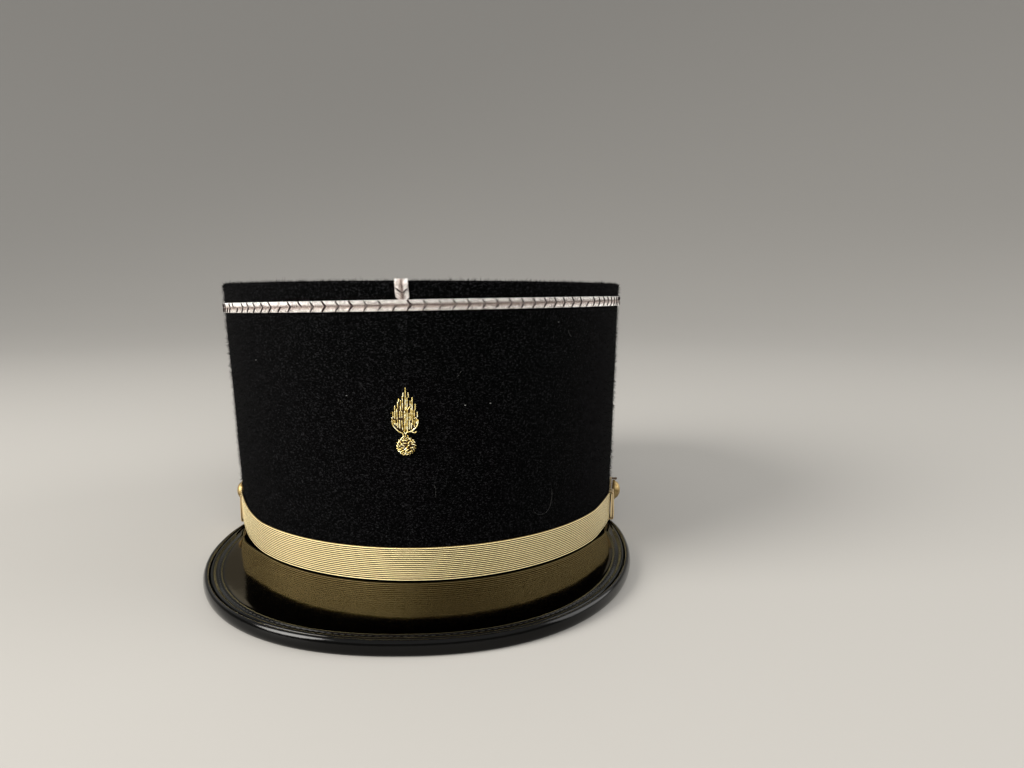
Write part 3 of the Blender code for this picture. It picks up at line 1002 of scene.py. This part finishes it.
def makePatentPeak(patent):
    lastEdge = len(edging) - 1
    rows = lastEdge + peak["fieldRows"]
    piece = addPrimitive(
        "patentPeak", bpy.ops.mesh.primitive_grid_add, size=2, x_subdivisions=peak["columns"],
        y_subdivisions=rows)
    left, right = peak["endStations"]
    firstTurn, lastTurn = outlineTurn(left), math.pi - outlineTurn(right)
    firstAngle, lastAngle = stationAngle(left), stationAngle(right, -1)

    def rowOf(co):
        return round((co.y + 1) / 2 * rows)

    def place(co):
        along = (co.x + 1) / 2
        turn = firstTurn + along * (lastTurn - firstTurn)
        inner = onCrown(firstAngle + along * (lastAngle - firstAngle), peak["gap"], peak["rise"])
        halfWidth, halfHeight = bindingSize(turn)
        edge = insetOutline(turn, 2 * halfWidth)
        towards = (insetOutline(turn, 2 * halfWidth + 1 * mm) - edge).normalized()
        across = Vector((inner.x, inner.y, 0)) - edge
        squeeze = peak["leastRoom"] / peak["edgeRoom"]
        if towards.dot(across) > peak["leastRoom"]:
            squeeze = min(1, across.length / peak["edgeRoom"])
            towards = towards.lerp(across.normalized(), 1 - squeeze * peak["edgeTurn"]).normalized()
        inset, height = edging[min(rowOf(co), lastEdge)]
        spot = edge + towards * (inset - peak["edgeStart"]) * mm * squeeze
        spot.z = max(height * mm * halfHeight / binding["halfHeight"], peak["thick"] + peak["gap"])
        if rowOf(co) <= lastEdge:
            return spot
        share = (rowOf(co) - lastEdge) / peak["fieldRows"]
        flat = spot.lerp(inner, share)
        flat.z = spot.z + (inner.z - spot.z) * easeUp(0, 1, share)
        return flat

    margin = piece.data.attributes.new("margin", "FLOAT", "POINT")      # 1 on the stitched margin
    for vertex in piece.data.vertices:
        margin.data[vertex.index].value = rowOf(vertex.co) < lastEdge
    moveVerts(piece, place)
    faceTowards(piece, skyward)
    applyModifier(piece, "SOLIDIFY", thickness=peak["thick"], offset=-1)
    return finishPiece(piece, patent, ["peak"], smooth=50)


def makePatentBinding(patent):
    piece = addPrimitive(
        "patentBinding", bpy.ops.mesh.primitive_cylinder_add, vertices=binding["sides"], radius=1, depth=1)
    edit(piece)
    pickRunning(piece, 2, 0.5)
    bpy.ops.mesh.subdivide(number_cuts=binding["steps"])
    pickRunning(piece, 2, 0.5 / binding["steps"])
    bpy.ops.mesh.subdivide(number_cuts=2)
    done()
    firstTurn = outlineTurn(binding["endStation"])

    def place(co):      # the cylinder's length is laid along the outline
        turn = firstTurn + (co.z + 0.5) * (math.pi - 2 * firstTurn)
        halfWidth, halfHeight = bindingSize(turn)
        spot = insetOutline(turn, halfWidth * (1 - co.x))
        spot.z = halfHeight * (1 + co.y)
        return spot

    moveVerts(piece, place)
    closeUp(piece)
    return finishPiece(piece, patent, ["peak_binding"], smooth=50)


stitches = {
    "pitch": 2.2 * mm,
    "length": 1.5 * mm,
    "thick": 0.16 * mm,
    "flatness": 0.8,
    "inset": 5.62 * mm,
    "height": 4.44 * mm,
    "from": -2,                    # degrees of the outline's turn
    "to": 182,
    "perDegree": 10,               # how finely the way along the outline is measured
}


def makePeakStitches(thread):
    steps = (stitches["to"] - stitches["from"]) * stitches["perDegree"]
    pieces = []
    travelled = 0
    last = insetOutline(math.radians(stitches["from"]), stitches["inset"])
    for i in range(1, steps + 1):
        turn = math.radians(stitches["from"] + i / stitches["perDegree"])
        spot = insetOutline(turn, stitches["inset"])
        travelled += (spot - last).length
        if travelled >= stitches["pitch"]:
            travelled -= stitches["pitch"]
            away = spot - last
            lift = bindingSize(turn)[1] / binding["halfHeight"]
            pieces.append(addPrimitive(
                "peakStitches", bpy.ops.mesh.primitive_uv_sphere_add, segments=8, ring_count=6, radius=1,
                location=(spot.x, spot.y, stitches["height"] * lift),
                rotation=(0, math.radians(90), math.atan2(away.y, away.x)),
                stretch=(
                    stitches["thick"] * stitches["flatness"], stitches["thick"], stitches["length"] / 2)))
        last = spot
    piece = joinAll(pieces)
    return finishPiece(piece, thread)


badge = {
    "across": 0.015 * mm,          # scale of the drawing below
    "up": 0.0162 * mm,
    "tilt": 0.0002 * mm,           # how far aside it leans for each step up
    "middle": 567,                 # the flame's middle in the drawing
    "ballAcross": 585,             # and the ball's
    "ballLine": 1530,
    "ballHeight": 51.65 * mm,
    "ballSize": 3.5 * mm,
    "ballRise": 1.75 * mm,
    "under": 0.3 * mm,
    "strand": 0.17 * mm,
    "strandSizes": (0.9, 1.08),
    "sides": 8,
    "ring": 0.24 * mm,             # pitch of the coil's rings
    "perRing": 3,                  # sections of a strand for each of them
    "ringDepth": 0.13,
    "end": 0.35,                   # a strand's size at its ends, and how soon it reaches the whole
    "endLength": 0.15 * mm,
    "flameOut": 0.9,               # how far a strand's middle stands off the form, in strands
    "ballOut": 0.7,
    "stray": 0.12 * mm,
    "cupLift": 0.18 * mm,
    "swirlLift": 0.1 * mm,
}
flameForm = {      # the soft form that the flame's threads lie on, in millimetres
    "foot": 56,                    # above the crown's base
    "high": 15.5,
    "halfWidth": 5.0,
    "widest": 0.357,               # share of its height
    "narrows": 2.293,
    "tip": 0.8,                    # share of its height from which it is a narrow tip
    "tipHalfWidth": 1.6,
    "rise": 0.95,
    "lowered": 0.45,               # share of the rise that it has lost at the tip
}
badgePads = {      # the padding that shows between the threads
    "out": 0.1 * mm,
    "flameUp": 9.2 * mm,
    "flameRadius": 4.4 * mm,
    "flameRise": 0.95 * mm,
    "tapers": 0.055,               # for each millimetre up
    "drawnOut": 0.32 * mm,
    "drawnPower": 1.3,
    "ballAside": 0.3 * mm,
    "ballRadius": 3.0 * mm,
    "ballRise": 1.7 * mm,
    "foot": -0.25 * mm,
}
flameStrands = [      # each thread of the flame, drawn from its tip down
    ((566, 240), (566, 500), (556, 760)), ((542, 755), (540, 1000), (538, 1195)),
    ((517, 350), (510, 440)), ((497, 425), (497, 560), (500, 720)), ((626, 350), (638, 460)),
    ((604, 455), (604, 580), (600, 700)), ((453, 512), (453, 640), (455, 745)), ((409, 480), (404, 560)),
    ((385, 555), (388, 700)), ((672, 528), (676, 640)), ((680, 650), (640, 690), (592, 745)),
    ((548, 745), (600, 690), (560, 660)), ((716, 462), (716, 700), (716, 925)),
    ((320, 638), (320, 780), (318, 925)), ((366, 700), (368, 820), (372, 935)), ((788, 598), (783, 735)),
    ((764, 735), (764, 840), (762, 930)), ((830, 770), (834, 890)), ((805, 895), (800, 1010)),
    ((273, 768), (276, 900)), ((252, 895), (256, 1010)), ((228, 796), (230, 812)), ((436, 750), (434, 900)),
    ((478, 760), (482, 900)), ((604, 735), (602, 960), (604, 1180)), ((650, 790), (648, 1000), (650, 1150)),
    ((690, 690), (684, 960)), ((428, 945), (430, 1130)), ((480, 955), (482, 1070), (500, 1160)),
    ((322, 955), (322, 1050)), ((382, 945), (386, 1115)), ((692, 1010), (696, 1150)),
    ((724, 935), (722, 1060)), ((760, 950), (762, 1100)), ((812, 915), (812, 1040)),
    ((842, 940), (836, 1050)), ((290, 950), (300, 1040)), ((346, 1010), (352, 1080)),
    ((560, 780), (572, 1000), (570, 1190)),
]
cupStrands = [      # the threads under the flame, the neck and the tail
    ((250, 960), (262, 1050), (305, 1110), (370, 1170), (430, 1212), (500, 1228)),
    ((850, 950), (838, 1050), (805, 1105), (755, 1150), (700, 1192), (600, 1212)),
    ((690, 1196), (750, 1226), (792, 1224), (806, 1196)), ((520, 1180), (540, 1215), (560, 1250)),
    ((610, 1180), (585, 1215), (566, 1250)), ((556, 1225), (558, 1312)),
    ((520, 1285), (480, 1335), (436, 1385)), ((604, 1270), (622, 1330), (660, 1370), (722, 1462)),
    ((500, 1232), (505, 1280), (530, 1330)), ((700, 1372), (740, 1410), (772, 1440)),
]
ballStrands = [      # the swirls on the ball
    ((470, 1640), (560, 1590), (620, 1520), (664, 1474)), ((470, 1560), (510, 1548), (550, 1552)),
    ((524, 1440), (560, 1436), (596, 1444)), ((500, 1470), (530, 1500), (556, 1506)),
    ((600, 1690), (640, 1665), (700, 1640), (720, 1600)), ((560, 1636), (600, 1650), (628, 1680)),
    ((680, 1560), (700, 1545), (722, 1556)), ((470, 1500), (480, 1460), (505, 1440)),
    ((450, 1670), (500, 1725), (540, 1740)), ((510, 1650), (560, 1700), (610, 1722)),
    ((620, 1460), (650, 1440), (640, 1410)), ((430, 1600), (460, 1600), (480, 1585)),
    ((500, 1385), (540, 1370), (600, 1376)), ((640, 1580), (600, 1600), (575, 1625)),
]
ballRings = ((19, 180, 228, 17), (12, 138, 176, 15))      # strands, inner and outer radius, twist in degrees


def makeStrand(points, radius):      # a coiled tube along the path; the path's points are (x, y, out)
    path = roundedPath(points)
    length = sum((b - a).length for a, b in zip(path, path[1:]))
    sections = max(int(length / badge["ring"] * badge["perRing"]), 5)
    piece = addPrimitive(
        "strand", bpy.ops.mesh.primitive_cylinder_add, vertices=badge["sides"], radius=1, depth=1)
    edit(piece)
    pickRunning(piece, 2, 0.5)
    bpy.ops.mesh.subdivide(number_cuts=sections)
    done()

    def place(co):
        share = co.z + 0.5
        away = wayAlong(path, share, 0.02)
        aside = away.cross(skyward).normalized()
        outward = aside.cross(away)
        turn = math.atan2(co.y, co.x)
        coil = 1 + badge["ringDepth"] * math.sin(share * length / badge["ring"] * math.tau + turn)
        fromEnd = min(share, 1 - share) * length
        size = radius * coil * min(1, badge["end"] + fromEnd / badge["endLength"])
        return alongPath(path, share) + (aside * math.cos(turn) + outward * math.sin(turn)) * size

    moveVerts(piece, place)
    return piece


def domeShare(away):      # 1 in the middle, falling to 0 at the edge
    return math.sqrt(1 - min(away, 1) ** 2)


def flameRise(x, height):      # how far the form stands out, at a place in millimetres
    along = min(max((height - flameForm["foot"]) / flameForm["high"], 0), 1)
    half = flameForm["tipHalfWidth"]
    if along < flameForm["tip"]:
        narrowed = 1 - flameForm["narrows"] * (along - flameForm["widest"]) ** 2
        half = flameForm["halfWidth"] * math.sqrt(narrowed)
    return flameForm["rise"] * domeShare(abs(x) / half) * (1 - flameForm["lowered"] * along)


def badgeSeat():      # on the front of the crown, at the ball's middle
    return crownSeat(front, badge["ballHeight"], badge["under"])


def onDrawing(point):
    above = badge["ballLine"] - point[1]
    return (point[0] - badge["middle"]) * badge["across"] + above * badge["tilt"], above * badge["up"]


def makeBadgeFlame(gold):
    pieces = []
    for points in flameStrands + cupStrands:
        path = []
        lift = dice.uniform(0, badge["stray"]) + (badge["cupLift"] if points in cupStrands else 0)
        for point in points:
            x, y = onDrawing(point)
            rise = flameRise(x / mm, (badge["ballHeight"] + y) / mm) * mm
            path.append((x, y, badge["strand"] * badge["flameOut"] + rise + lift))
        pieces.append(makeStrand(path, badge["strand"] * dice.uniform(*badge["strandSizes"])))
    piece = joinAll(pieces)
    piece.name = piece.data.name = "badgeFlame"
    setInPlace(piece, badgeSeat())
    return finishPiece(piece, gold, ["badge_flame"], smooth=60)


def makeBadgePads(brown):
    flameUp, flameRadius, ballRadius = badgePads["flameUp"], badgePads["flameRadius"], badgePads["ballRadius"]
    flame = addPrimitive(
        "badgePads", bpy.ops.mesh.primitive_uv_sphere_add, segments=28, ring_count=14, radius=1,
        location=(0, flameUp, badgePads["out"]), stretch=(flameRadius, flameRadius, badgePads["flameRise"]))

    def drawnOut(co):      # the flame's padding runs up to a tip
        up = max(co.y - flameUp, 0) / mm
        longer = up ** badgePads["drawnPower"] * badgePads["drawnOut"]
        return Vector((co.x * (1 - badgePads["tapers"] * up), co.y + longer, co.z))

    moveVerts(flame, drawnOut)
    ball = addPrimitive(
        "ballPad", bpy.ops.mesh.primitive_uv_sphere_add, segments=28, ring_count=14, radius=1,
        location=(badgePads["ballAside"], 0, badgePads["out"]),
        stretch=(ballRadius, ballRadius, badgePads["ballRise"]))
    piece = joinAll([flame, ball])
    moveVerts(piece, lambda co: Vector((co.x, co.y, max(co.z, badgePads["foot"]))))
    setInPlace(piece, badgeSeat())
    return finishPiece(piece, brown, smooth=60)


def makeBadgeBall(gold):
    pieces = []

    def domed(x, y, lift=0):
        rise = badge["ballRise"] * domeShare(math.hypot(x, y) / badge["ballSize"])
        return x, y, badge["strand"] * badge["ballOut"] + rise + lift

    for points in ballStrands:
        path = []
        for point in points:
            x, y = point[0] - badge["ballAcross"], badge["ballLine"] - point[1]
            path.append(domed(x * badge["across"], y * badge["across"], badge["swirlLift"]))
        pieces.append(makeStrand(path, badge["strand"]))
    for count, low, high, twist in ballRings:
        for i in range(count):
            turn = math.tau * i / count
            later = turn + math.radians(twist)
            first = Vector((math.cos(turn), -math.sin(turn))) * low * badge["across"]
            last = Vector((math.cos(later), -math.sin(later))) * high * badge["across"]
            path = [domed(*spot) for spot in (first, (first + last) / 2, last)]
            pieces.append(makeStrand(path, badge["strand"] * badge["strandSizes"][0]))
    piece = joinAll(pieces)
    piece.name = piece.data.name = "badgeBall"
    setInPlace(piece, badgeSeat())
    return finishPiece(piece, gold, ["badge_ball"], smooth=60)


lint = {      # places on the cloth are how far round from the front and how far up, in millimetres
    "speck": 0.32 * mm,
    "speckShape": (1, 0.6, 0.55),
    "hair": 0.025 * mm,
    "out": 0.5 * mm,
    "specks": ((-64.1, 79.0), (20.6, 65.6), (29.8, 65.8), (59.2, 93.5), (-20.5, 69.0)),
    "hairs": (
        ((48.4, 23.9), (48.7, 22.7), (49.8, 21.5), (52.4, 20.7), (55.3, 21.2), (56.9, 23.1), (57.9, 26.2),
         (57.7, 30.0)),
        ((9.3, 37.0), (9.8, 34.6), (9.6, 32.6)),
        ((17.9, 75.6), (18.4, 76.4), (19.3, 77.7)),
        ((64.9, 90.3), (65.6, 88.4), (67.3, 87.6)),
    ),
}


def makeLint(pale):
    reach = measureGirth(crown["frontHeight"] / 2)

    def onCloth(distance, up):
        return onCrown(angleAt(distance * mm, reach), lint["out"], up * mm)

    pieces = []
    for distance, up in lint["specks"]:
        pieces.append(addPrimitive(
            "lint", bpy.ops.mesh.primitive_ico_sphere_add, subdivisions=2, radius=lint["speck"],
            location=onCloth(distance, up), stretch=lint["speckShape"]))
    for points in lint["hairs"]:
        hair = drawLine("hair", roundedPath([onCloth(*point) for point in points]))
        takeUp(hair)
        bpy.ops.object.convert(target="CURVE")
        hair = bpy.context.object
        hair.data.bevel_depth = lint["hair"]
        hair.data.bevel_resolution = 1
        hair.data.use_fill_caps = True
        bpy.ops.object.convert(target="MESH")
        pieces.append(bpy.context.object)
    piece = joinAll(pieces)
    piece.name = piece.data.name = "lint"
    closeUp(piece)
    return finishPiece(piece, pale, smooth=60)


def newMaterial(name, colour, roughness, metallic=0.0):
    material = bpy.data.materials.new(name)
    material.use_nodes = True
    shader = material.node_tree.nodes["Principled BSDF"]
    shader.inputs["Base Color"].default_value = (*colour, 1)
    shader.inputs["Roughness"].default_value = roughness
    shader.inputs["Metallic"].default_value = metallic
    return material, shader, material.node_tree


def addNoise(tree, scale, detail, roughness, stretch=(1, 1, 1)):      # in object coordinates
    place = tree.nodes.new("ShaderNodeTexCoord")
    mapping = tree.nodes.new("ShaderNodeMapping")
    mapping.inputs["Scale"].default_value = stretch
    field = tree.nodes.new("ShaderNodeTexNoise")
    field.inputs["Scale"].default_value = scale
    field.inputs["Detail"].default_value = detail
    field.inputs["Roughness"].default_value = roughness
    tree.links.new(place.outputs["Object"], mapping.inputs["Vector"])
    tree.links.new(mapping.outputs["Vector"], field.inputs["Vector"])
    return field


def addMath(tree, kind, first, second=0):      # each is a socket or a number
    part = tree.nodes.new("ShaderNodeMath")
    part.operation = kind
    for socket, value in zip(part.inputs, (first, second)):
        if isinstance(value, (int, float)):
            socket.default_value = value
        else:
            tree.links.new(value, socket)
    return part.outputs[0]


def addCoordinate(tree, kind, axis):      # kind is Object, or UV for the piece's own map
    place = tree.nodes.new("ShaderNodeTexCoord")
    split = tree.nodes.new("ShaderNodeSeparateXYZ")
    tree.links.new(place.outputs[kind], split.inputs["Vector"])
    return split.outputs[axis]


def addRamp(tree, source, stops):      # stops are (place, colour)
    ramp = tree.nodes.new("ShaderNodeValToRGB")
    ramp.color_ramp.elements[0].position = stops[0][0]
    ramp.color_ramp.elements[0].color = (*stops[0][1], 1)
    ramp.color_ramp.elements[1].position = stops[-1][0]
    ramp.color_ramp.elements[1].color = (*stops[-1][1], 1)
    for place, colour in stops[1:-1]:
        ramp.color_ramp.elements.new(place).color = (*colour, 1)
    tree.links.new(source, ramp.inputs["Fac"])
    return ramp.outputs["Color"]


def colourBy(tree, shader, source, stops):
    tree.links.new(addRamp(tree, source, stops), shader.inputs["Base Color"])


def addTinted(tree, colour, tint, share):      # the colour multiplied by the tint
    mix = tree.nodes.new("ShaderNodeMix")
    mix.data_type = "RGBA"
    mix.blend_type = "MULTIPLY"
    mix.inputs["Factor"].default_value = share
    tree.links.new(colour, mix.inputs["A"])
    tree.links.new(tint, mix.inputs["B"])
    return mix.outputs["Result"]


def addBump(tree, shader, source, distance, strength):
    bump = tree.nodes.new("ShaderNodeBump")
    bump.inputs["Strength"].default_value = strength
    bump.inputs["Distance"].default_value = distance
    tree.links.new(source, bump.inputs["Height"])
    tree.links.new(bump.outputs["Normal"], shader.inputs["Normal"])
    return bump


def makeWool(name, seamShade):      # the seam runs down the middle of the front and of the back
    cloth, shader, tree = newMaterial(name, (0.003, 0.003, 0.0034), 0.95)
    shader.inputs["Specular IOR Level"].default_value = 0.03
    speckle = addNoise(tree, 1500, 3, 0.8, (0.8, 0.8, 1.25))
    fromMiddle = addMath(tree, "ABSOLUTE", addCoordinate(tree, "Object", "X"))
    seam = addMath(tree, "LESS_THAN", fromMiddle, 1.2 * mm)
    raised = addMath(tree, "ADD", speckle.outputs["Fac"], addMath(tree, "MULTIPLY", seam, seamShade))
    colourBy(tree, shader, raised, [
        (0.46, (0.0001, 0.0001, 0.00012)), (0.55, (0.0006, 0.0006, 0.0007)), (0.66, (0.012, 0.012, 0.013))])
    fluff = addNoise(tree, 1500, 5, 0.65)
    addBump(tree, shader, fluff.outputs["Fac"], 0.3 * mm, 0.9)
    return cloth


def makeNapWool():
    cloth, shader, tree = newMaterial("napWool", (0.006, 0.006, 0.007), 0.8)
    shader.inputs["Specular IOR Level"].default_value = 0.04
    shade = addNoise(tree, 700, 3, 0.7)
    colourBy(tree, shader, shade.outputs["Fac"], [
        (0.44, (0.0004, 0.0004, 0.0005)), (0.62, (0.006, 0.006, 0.0066))])
    return cloth


def makeSilver():      # its colour runs across each thread, from one edge to the other, with painted highlights along both edges and painted shade at the groove between the two lobes
    silver, shader, tree = newMaterial("silverThread", (0.8, 0.77, 0.73), 0.35, 0.35)
    # painted light: the near-white stops at both edges are painted highlights, and the darker pinkish stops
    # round the groove are the thread's pink tone darkened with painted shade
    lobes = addRamp(tree, addCoordinate(tree, "UV", "Y"), [
        (0.0, (0.97, 0.94, 0.91)), (0.2, (0.92, 0.89, 0.85)), (0.34, (0.62, 0.54, 0.5)),
        (0.52, (0.4, 0.32, 0.29)), (0.62, (0.66, 0.61, 0.57)), (0.76, (0.93, 0.91, 0.89)),
        (1.0, (1, 0.99, 0.98))])
    tint = addNoise(tree, 2400, 2, 0.6)
    flecks = addRamp(tree, tint.outputs["Fac"], [
        (0.41, (0.05, 0.03, 0.025)), (0.49, (0.66, 0.62, 0.59)), (0.55, (1, 1, 1))])
    tree.links.new(addTinted(tree, lobes, flecks, 0.8), shader.inputs["Base Color"])
    thread = addNoise(tree, 4200, 2, 0.5)
    addBump(tree, shader, thread.outputs["Fac"], 0.1 * mm, 0.7)
    return silver


def makePlainThread(name, dark, light, roughness, metallic=0.0):      # mottled between two shades
    thread, shader, tree = newMaterial(name, light, roughness, metallic)
    shade = addNoise(tree, 1600, 3, 0.6)
    colourBy(tree, shader, shade.outputs["Fac"], [(0.38, dark), (0.62, light)])
    shader.inputs["Specular IOR Level"].default_value = 0.15
    addBump(tree, shader, shade.outputs["Fac"], 0.05 * mm, 0.5)
    return thread


def makeGoldLace(name, crest, shadedFlank):      # a rib's crest lies at the middle of each whole step across; its flanks and the gaps between ribs carry painted shade
    lace, shader, tree = newMaterial(name, crest, 0.33, 0.4)
    # painted shade: these two colours darken the hollow between two ribs, darkest in its middle
    gap, deep = (0.01, 0.005, 0.001), (0.03, 0.015, 0.003)
    ribs = addRamp(tree, addMath(tree, "FRACT", addCoordinate(tree, "UV", "Y")), [
        (0.06, gap), (0.25, deep), (0.33, shadedFlank), (0.4, crest), (0.6, crest), (0.67, shadedFlank), (0.75, deep),
        (0.94, gap)])
    tint = addNoise(tree, 1400, 3, 0.6)
    flecks = addRamp(tree, tint.outputs["Fac"], [(0.32, (0.66, 0.6, 0.5)), (0.58, (1, 1, 1))])
    tree.links.new(addTinted(tree, ribs, flecks, 0.45), shader.inputs["Base Color"])
    turns = addMath(tree, "MULTIPLY", addCoordinate(tree, "UV", "X"), math.tau / 0.28)      # one each 0.28 mm
    thread = addNoise(tree, 4200, 2, 0.5)
    windings = addMath(tree, "MULTIPLY", addMath(tree, "SINE", turns), 0.35)
    addBump(tree, shader, addMath(tree, "ADD", windings, thread.outputs["Fac"]), 0.07 * mm, 0.7)
    return lace


def makeGilt():
    gilt, shader, tree = newMaterial("gilt", (0.4, 0.29, 0.13), 0.48, 1.0)
    wear = addNoise(tree, 420, 4, 0.6)
    colourBy(tree, shader, wear.outputs["Fac"], [(0.35, (0.2, 0.13, 0.05)), (0.6, (0.42, 0.31, 0.14))])
    return gilt


# Patent leather is black below its coat, so it is made as a dark mirror.
# Its slow waves, its grain and its wrinkles are three bumps, each on top of the last.
def makePatent(name, roughness, crease, gloss, edgeTint):      # crease is the strength of the fine wrinkles
    patent, shader, tree = newMaterial(name, gloss, roughness, 1.0)
    shader.inputs["Specular Tint"].default_value = (*edgeTint, 1)
    last = None
    for scale, detail, rough, height, strength in (
            (60, 2, 0.4, 0.25 * mm, 0.2), (330, 3, 0.5, 0.05 * mm, 0.22), (1300, 3, 0.6, 0.05 * mm, crease)):
        field = addNoise(tree, scale, detail, rough)
        bump = addBump(tree, shader, field.outputs["Fac"], height, strength)
        if last:
            tree.links.new(last.outputs["Normal"], bump.inputs["Normal"])
        last = bump
    return patent


def coolMargin(patent):      # the peak's stitched margin mirrors the gold less warmly than its field does
    tree = patent.node_tree
    shader = tree.nodes["Principled BSDF"]
    margin = tree.nodes.new("ShaderNodeAttribute")
    margin.attribute_name = "margin"
    for socket, colour in (("Base Color", (0.014, 0.014, 0.014)), ("Specular Tint", (0.84, 0.85, 0.84))):
        field = tuple(shader.inputs[socket].default_value)[:3]
        tree.links.new(
            addRamp(tree, margin.outputs["Fac"], [(0.0, field), (1.0, colour)]), shader.inputs[socket])
    return patent


def makeBullion():
    gold, shader, tree = newMaterial("bullion", (0.85, 0.65, 0.32), 0.3, 0.6)
    tint = addNoise(tree, 1100, 2, 0.5)
    colourBy(tree, shader, tint.outputs["Fac"], [
        (0.36, (0.4, 0.27, 0.05)), (0.5, (0.88, 0.71, 0.27)), (0.62, (1, 0.95, 0.66))])
    return gold


stage = {
    "radius": 3.2,
    "flat": 0.9,                   # radius of the level part
    "rise": 1.3,
    "rings": 12,
    "floor": (0.31, 0.3, 0.283),
}


def addStage():      # a round floor that sweeps up far away
    floor = addPrimitive(
        "floor", bpy.ops.mesh.primitive_circle_add, vertices=96, radius=stage["radius"], fill_type="NGON")
    edit(floor)
    pickAll("FACE")
    for _ in range(stage["rings"]):
        bpy.ops.mesh.inset(thickness=(stage["radius"] - stage["flat"]) / stage["rings"])
    done()

    def swept(co):
        share = max(co.length - stage["flat"], 0) / (stage["radius"] - stage["flat"])
        return Vector((co.x, co.y, stage["rise"] * share * share))

    moveVerts(floor, swept)
    takeUp(floor)
    bpy.ops.object.shade_smooth()
    paint, shader, _ = newMaterial("floorPaint", stage["floor"], 0.6)
    shader.inputs["Specular IOR Level"].default_value = 0.3
    floor.data.materials.append(paint)


lamps = {      # place, size in metres, power in watts and colour
    "key": ((-1.15, -0.62, 0.78), 1.0, 15, (1, 0.97, 0.92)),
    "fill": ((0.3, -1.6, 0.65), 1.4, 11.5, (1, 0.98, 0.95)),
    "side": ((1.7, 0.25, 0.8), 1.6, 8.5, (1, 0.99, 0.97)),
}
lampAim = Vector((0, 0, 0.05))
lampSpread = math.radians(100)      # keeps the floor beside the lamps from glaring
daylight = {"colour": (1, 0.985, 0.96), "strength": 0.7}      # soft, from all sides


def addLight(name, place, size, power, colour):
    lamp = bpy.data.lights.new(name, "AREA")
    lamp.shape = "DISK"
    lamp.size = size
    lamp.energy = power
    lamp.color = colour
    lamp.spread = lampSpread
    light = bpy.data.objects.new(name, lamp)
    bpy.context.scene.collection.objects.link(light)
    light.location = place
    light.rotation_euler = (lampAim - Vector(place)).to_track_quat("-Z", "Y").to_euler()
    light.visible_camera = False
    light.visible_glossy = name != "fill"      # the patent leather doesn't mirror the fill


def addLights():
    world = bpy.context.scene.world or bpy.data.worlds.new("world")
    bpy.context.scene.world = world
    world.use_nodes = True
    sky = world.node_tree.nodes["Background"]
    sky.inputs["Color"].default_value = (*daylight["colour"], 1)
    sky.inputs["Strength"].default_value = daylight["strength"]
    for name, values in lamps.items():
        addLight(name, *values)
    bpy.context.scene.view_settings.view_transform = "Standard"


addCamera()
addStage()
addLights()
wool, topWool, silver = makeWool("wool", 0.02), makeWool("topWool", 0.0), makeSilver()
# the braid's core is real, but its dark brown is painted shade for the gaps between the twists
braidGapShade = makePlainThread("braidGapShade", (0.012, 0.006, 0.004), (0.05, 0.03, 0.024), 0.6)
dark = makePlainThread("darkThread", (0.004, 0.002, 0.002), (0.012, 0.004, 0.004), 0.7)
# each lace's second colour is the painted shade on its ribs' flanks
lace = makeGoldLace("goldLace", (1, 0.9, 0.53), (0.85, 0.62, 0.24))
# a duller, darker gold lace for the keepers and the tabs
dullerLace = makeGoldLace("dullerLace", (0.7, 0.56, 0.33), (0.42, 0.3, 0.14))
gilt, gold = makeGilt(), makeBullion()
crownCloth = makeCrownCloth(wool)
topCloth = makeTopCloth(topWool)
napWool = makeNapWool()
makeNap("woolNap", [crownCloth, topCloth], napWool, nap, bareOfNap)
makeNap("rimFuzz", [crownCloth], napWool, fuzz, farFromRim)
layBraid, braidCount = makeBraidRing(silver, braidGapShade)
makeBraidTracer(layBraid, braidCount, dark)
makeBraidUpright(silver, braidGapShade, dark)
makeLaceStrap(lace)
for side, mirror in (("Left", 1), ("Right", -1)):
    makeLaceKeeper(side, mirror, dullerLace)
    makeLaceTab(side, mirror, dullerLace)
    makeSideButton(side, mirror, gilt)
makeProng(makePlainThread("darkMetal", (0.05, 0.035, 0.025), (0.13, 0.095, 0.07), 0.5, 0.3))
makePatentPeak(coolMargin(makePatent("patentField", 0.085, 0.0, (0.027, 0.024, 0.018), (0.94, 0.87, 0.75))))
makePatentBinding(makePatent("patentRoll", 0.1, 0.55, (0.018, 0.018, 0.018), (1, 1, 1)))
makePeakStitches(makePlainThread("stitchThread", (0.006, 0.0055, 0.005), (0.02, 0.018, 0.016), 0.4))
makeBadgePads(makePlainThread("brownPad", (0.012, 0.006, 0.0015), (0.035, 0.018, 0.005), 0.8))
makeBadgeFlame(gold)
makeBadgeBall(gold)
makeLint(makePlainThread("lintThread", (0.03, 0.03, 0.03), (0.14, 0.14, 0.135), 0.8))
